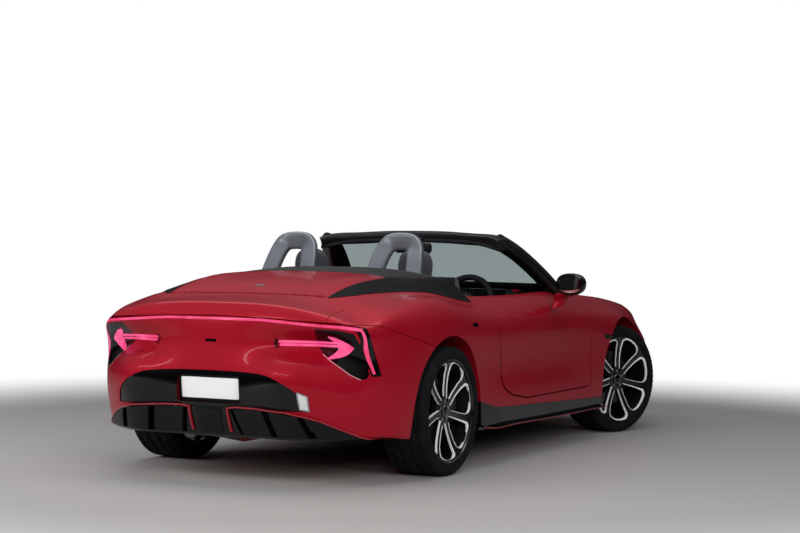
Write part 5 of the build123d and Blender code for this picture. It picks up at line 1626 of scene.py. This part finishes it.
def build_dash():
    """Dashboard, displays and air outlets."""
    dash = piece("dash_top", dash_mesh(), F["trim_plastic"], replaces=["dashboard"], slot="black_matte", smooth=40)
    soften(dash, 6, 3)
    screen = place(prism(rounded(330, 150, 12), -5, 5, "x"), (432, 0, 905), (0, -14, 0))
    binnacle = place(prism(rounded(260, 110, 12), -5, 5, "x"), (430, -SEAT_Y, 905), (0, -14, 0))
    soften(piece("display_panels", joined(screen, binnacle), F["display"], slot="black_gloss", smooth=30), 2)
    outlet = rounded(120, 40, 16)
    vents = [prism([(y + a, 838 + b) for a, b in outlet], 405, 432, "x") for y in (-640, -150, 150, 640)]
    soften(piece("air_outlets", joined(*vents), F["black_gloss"], slot="black_gloss", smooth=30), 2)


def build_console():
    """Centre console with its armrest and controls."""
    console, replaced = prism(CONSOLE, -84, 84, "y"), ["centre_console"]
    body = piece("console_body", console, F["trim_plastic"], replaces=replaced, slot="black_matte", smooth=30)
    soften(body, 16, 4)
    lid = pad(ARMREST, 0, (0.8,), 0, 0, 40)
    piece("armrest", lid, F["leather"], slot="leather", smooth=50)
    knobs = [place(lathe(KNOB, 40), (20, 0, 524), (90, 0, 0)), prism(SELECTOR, -16, 16, "y")]
    soften(piece("console_controls", joined(*knobs), F["silver"], slot="silver", smooth=40), 3)


def build_cabin():
    """Dashboard, console, steering wheel, door cards and carpet."""
    build_dash()
    build_console()
    build_steering_wheel()
    for side, sign in SIDES:
        board = prism(DOOR_CARD, *side_span(sign, 742, 762), "y")
        rail = sweep(smooth_path([(x, sign * y, z) for x, y, z in DOOR_RAIL], 24), oval(52, 60))
        card, rides = joined(board, rail), "door_" + side
        soften(piece("door_card_" + side, card, F["trim_plastic"], body=rides, slot="black_matte", smooth=40), 5, 3)
    carpet = block((-740, -748, 300), (900, 748, 304))
    wall = prism([(-744, 300), (-744, 1060), (-700, 1046), (-640, 900), (-600, 302)], -690, 690, "y")
    soften(piece("carpet_and_bulkhead", joined(carpet, wall), F["carpet"], slot="black_matte", smooth=30), 10, 3)


STEERING_PLACE, STEERING_LEAN = (110, -SEAT_Y, 875), 24
STEERING_RADIUS, GRIP_RADIUS = 174, 19


def build_steering_wheel():
    """Steering wheel with a thick grip, three spokes, a padded boss and its column."""
    ring = [(STEERING_RADIUS + GRIP_RADIUS * math.cos(a), GRIP_RADIUS * math.sin(a)) for a in turns(24)]
    parts = [lathe(ring, 96, True)]
    for angle in (90, -90, 180):
        sections = [oval(70, 20, 3), oval(40, 16, 3), oval(46, 14, 3)]
        spoke = sweep([(0, 14, 30), (0, 10, 90), (0, 2, 168)], sections, up=(0, 1, 0))
        spoke.transform(Matrix.Rotation(math.radians(angle), 4, "Y"))
        parts.append(spoke)
    boss = [(0, 22, -52), (0, 26, -30), (0, 27, 0), (0, 25, 40), (0, 20, 56)]
    sections = [oval(w, h, 3) for w, h in ((90, 22), (128, 34), (138, 40), (120, 34), (70, 20))]
    parts.append(sweep(boss, sections, up=(0, 1, 0)))
    parts.append(lathe([(0, 0), (30, 0), (30, -300), (0, -300)], 32))
    wheel = joined(*parts)
    c, s = math.cos(math.radians(STEERING_LEAN)), math.sin(math.radians(STEERING_LEAN))
    wheel.transform(Matrix(((0, -c, s), (-1, 0, 0), (0, s, c))).to_4x4())
    wheel.transform(Matrix.Translation(Vector(STEERING_PLACE) * MM))
    piece("steering_wheel_rim", wheel, F["trim_plastic"], replaces=["steering_wheel"], slot="leather", smooth=45)


CAD_FINISHES = {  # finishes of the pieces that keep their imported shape
    "front_suspension": "cast_alloy", "rear_suspension": "cast_alloy", "drive_unit": "cast_alloy",
    "battery_pack": "black_matte", "knuckle_fl": "cast_alloy", "knuckle_fr": "cast_alloy",
}


def finish_running_gear():
    """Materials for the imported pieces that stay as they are."""
    for name, key in CAD_FINISHES.items():
        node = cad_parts[name]
        node.data.materials.clear()
        node.data.materials.append(F[key])


# ---------------------------------------------------------------- add-on
class RoadsterSettings(bpy.types.PropertyGroup):
    """What a user would change."""

    paint_colour: FloatVectorProperty(
        name="Paint", description="Colour of the candy coat", subtype="COLOR", size=3, default=linear("#A40A22")[:3]
    )


def register():
    """Make the add-on's classes and its settings known."""
    for kind in CLASSES:
        bpy.utils.register_class(kind)
    bpy.types.Scene.roadster = PointerProperty(type=RoadsterSettings)


def unregister():
    """Take the add-on's classes and its settings away."""
    del bpy.types.Scene.roadster
    for kind in reversed(CLASSES):
        bpy.utils.unregister_class(kind)


class ROADSTER_OT_panels(bpy.types.Operator):
    """Body panels"""

    bl_idname = "roadster.panels"
    bl_label = "Body panels"

    def execute(self, context):
        """Build it."""
        F.update(make_finishes(context.scene.roadster.paint_colour))
        build_panels()
        return {"FINISHED"}


class ROADSTER_OT_tail(bpy.types.Operator):
    """Lamps, plate and diffuser at the tail"""

    bl_idname = "roadster.tail"
    bl_label = "Tail"

    def execute(self, context):
        """Build it."""
        build_tail()
        return {"FINISHED"}


class ROADSTER_OT_wheels(bpy.types.Operator):
    """Tyres, rims and discs"""

    bl_idname = "roadster.wheels"
    bl_label = "Wheels"

    def execute(self, context):
        """Build it."""
        build_wheels()
        return {"FINISHED"}


class ROADSTER_OT_trim(bpy.types.Operator):
    """Windscreen, hoops, mirrors, covers, sills and nose trim"""

    bl_idname = "roadster.trim"
    bl_label = "Glass and trim"

    def execute(self, context):
        """Build it."""
        build_screen()
        build_hoops()
        build_mirrors()
        build_covers()
        build_sills()
        build_nose()
        return {"FINISHED"}


class ROADSTER_OT_cabin(bpy.types.Operator):
    """Seats, dashboard, console, steering wheel and door cards"""

    bl_idname = "roadster.cabin"
    bl_label = "Cabin"

    def execute(self, context):
        """Build it."""
        build_seats()
        build_cabin()
        finish_running_gear()
        return {"FINISHED"}


class ROADSTER_OT_stage(bpy.types.Operator):
    """Camera, floor and lamps"""

    bl_idname = "roadster.stage"
    bl_label = "Studio"

    def execute(self, context):
        """Build it."""
        build_camera()
        build_stage()
        return {"FINISHED"}


class ROADSTER_PT_sidebar(bpy.types.Panel):
    """Steps that build the car"""

    bl_label = "Roadster"
    bl_idname = "ROADSTER_PT_sidebar"
    bl_space_type = "VIEW_3D"
    bl_region_type = "UI"
    bl_category = "Roadster"

    def draw(self, context):
        """The settings, then a button for each step."""
        self.layout.prop(context.scene.roadster, "paint_colour")
        for kind in STEPS:
            self.layout.operator(kind.bl_idname)


STEPS = [
    ROADSTER_OT_stage, ROADSTER_OT_panels, ROADSTER_OT_tail, ROADSTER_OT_wheels, ROADSTER_OT_trim, ROADSTER_OT_cabin,
]
CLASSES = [RoadsterSettings, *STEPS, ROADSTER_PT_sidebar]


def main():
    """Build everything."""
    register()
    bpy.ops.roadster.stage()
    bpy.ops.roadster.panels()
    bpy.ops.roadster.tail()
    bpy.ops.roadster.wheels()
    bpy.ops.roadster.trim()
    bpy.ops.roadster.cabin()


if __name__ == "__main__":
    main()
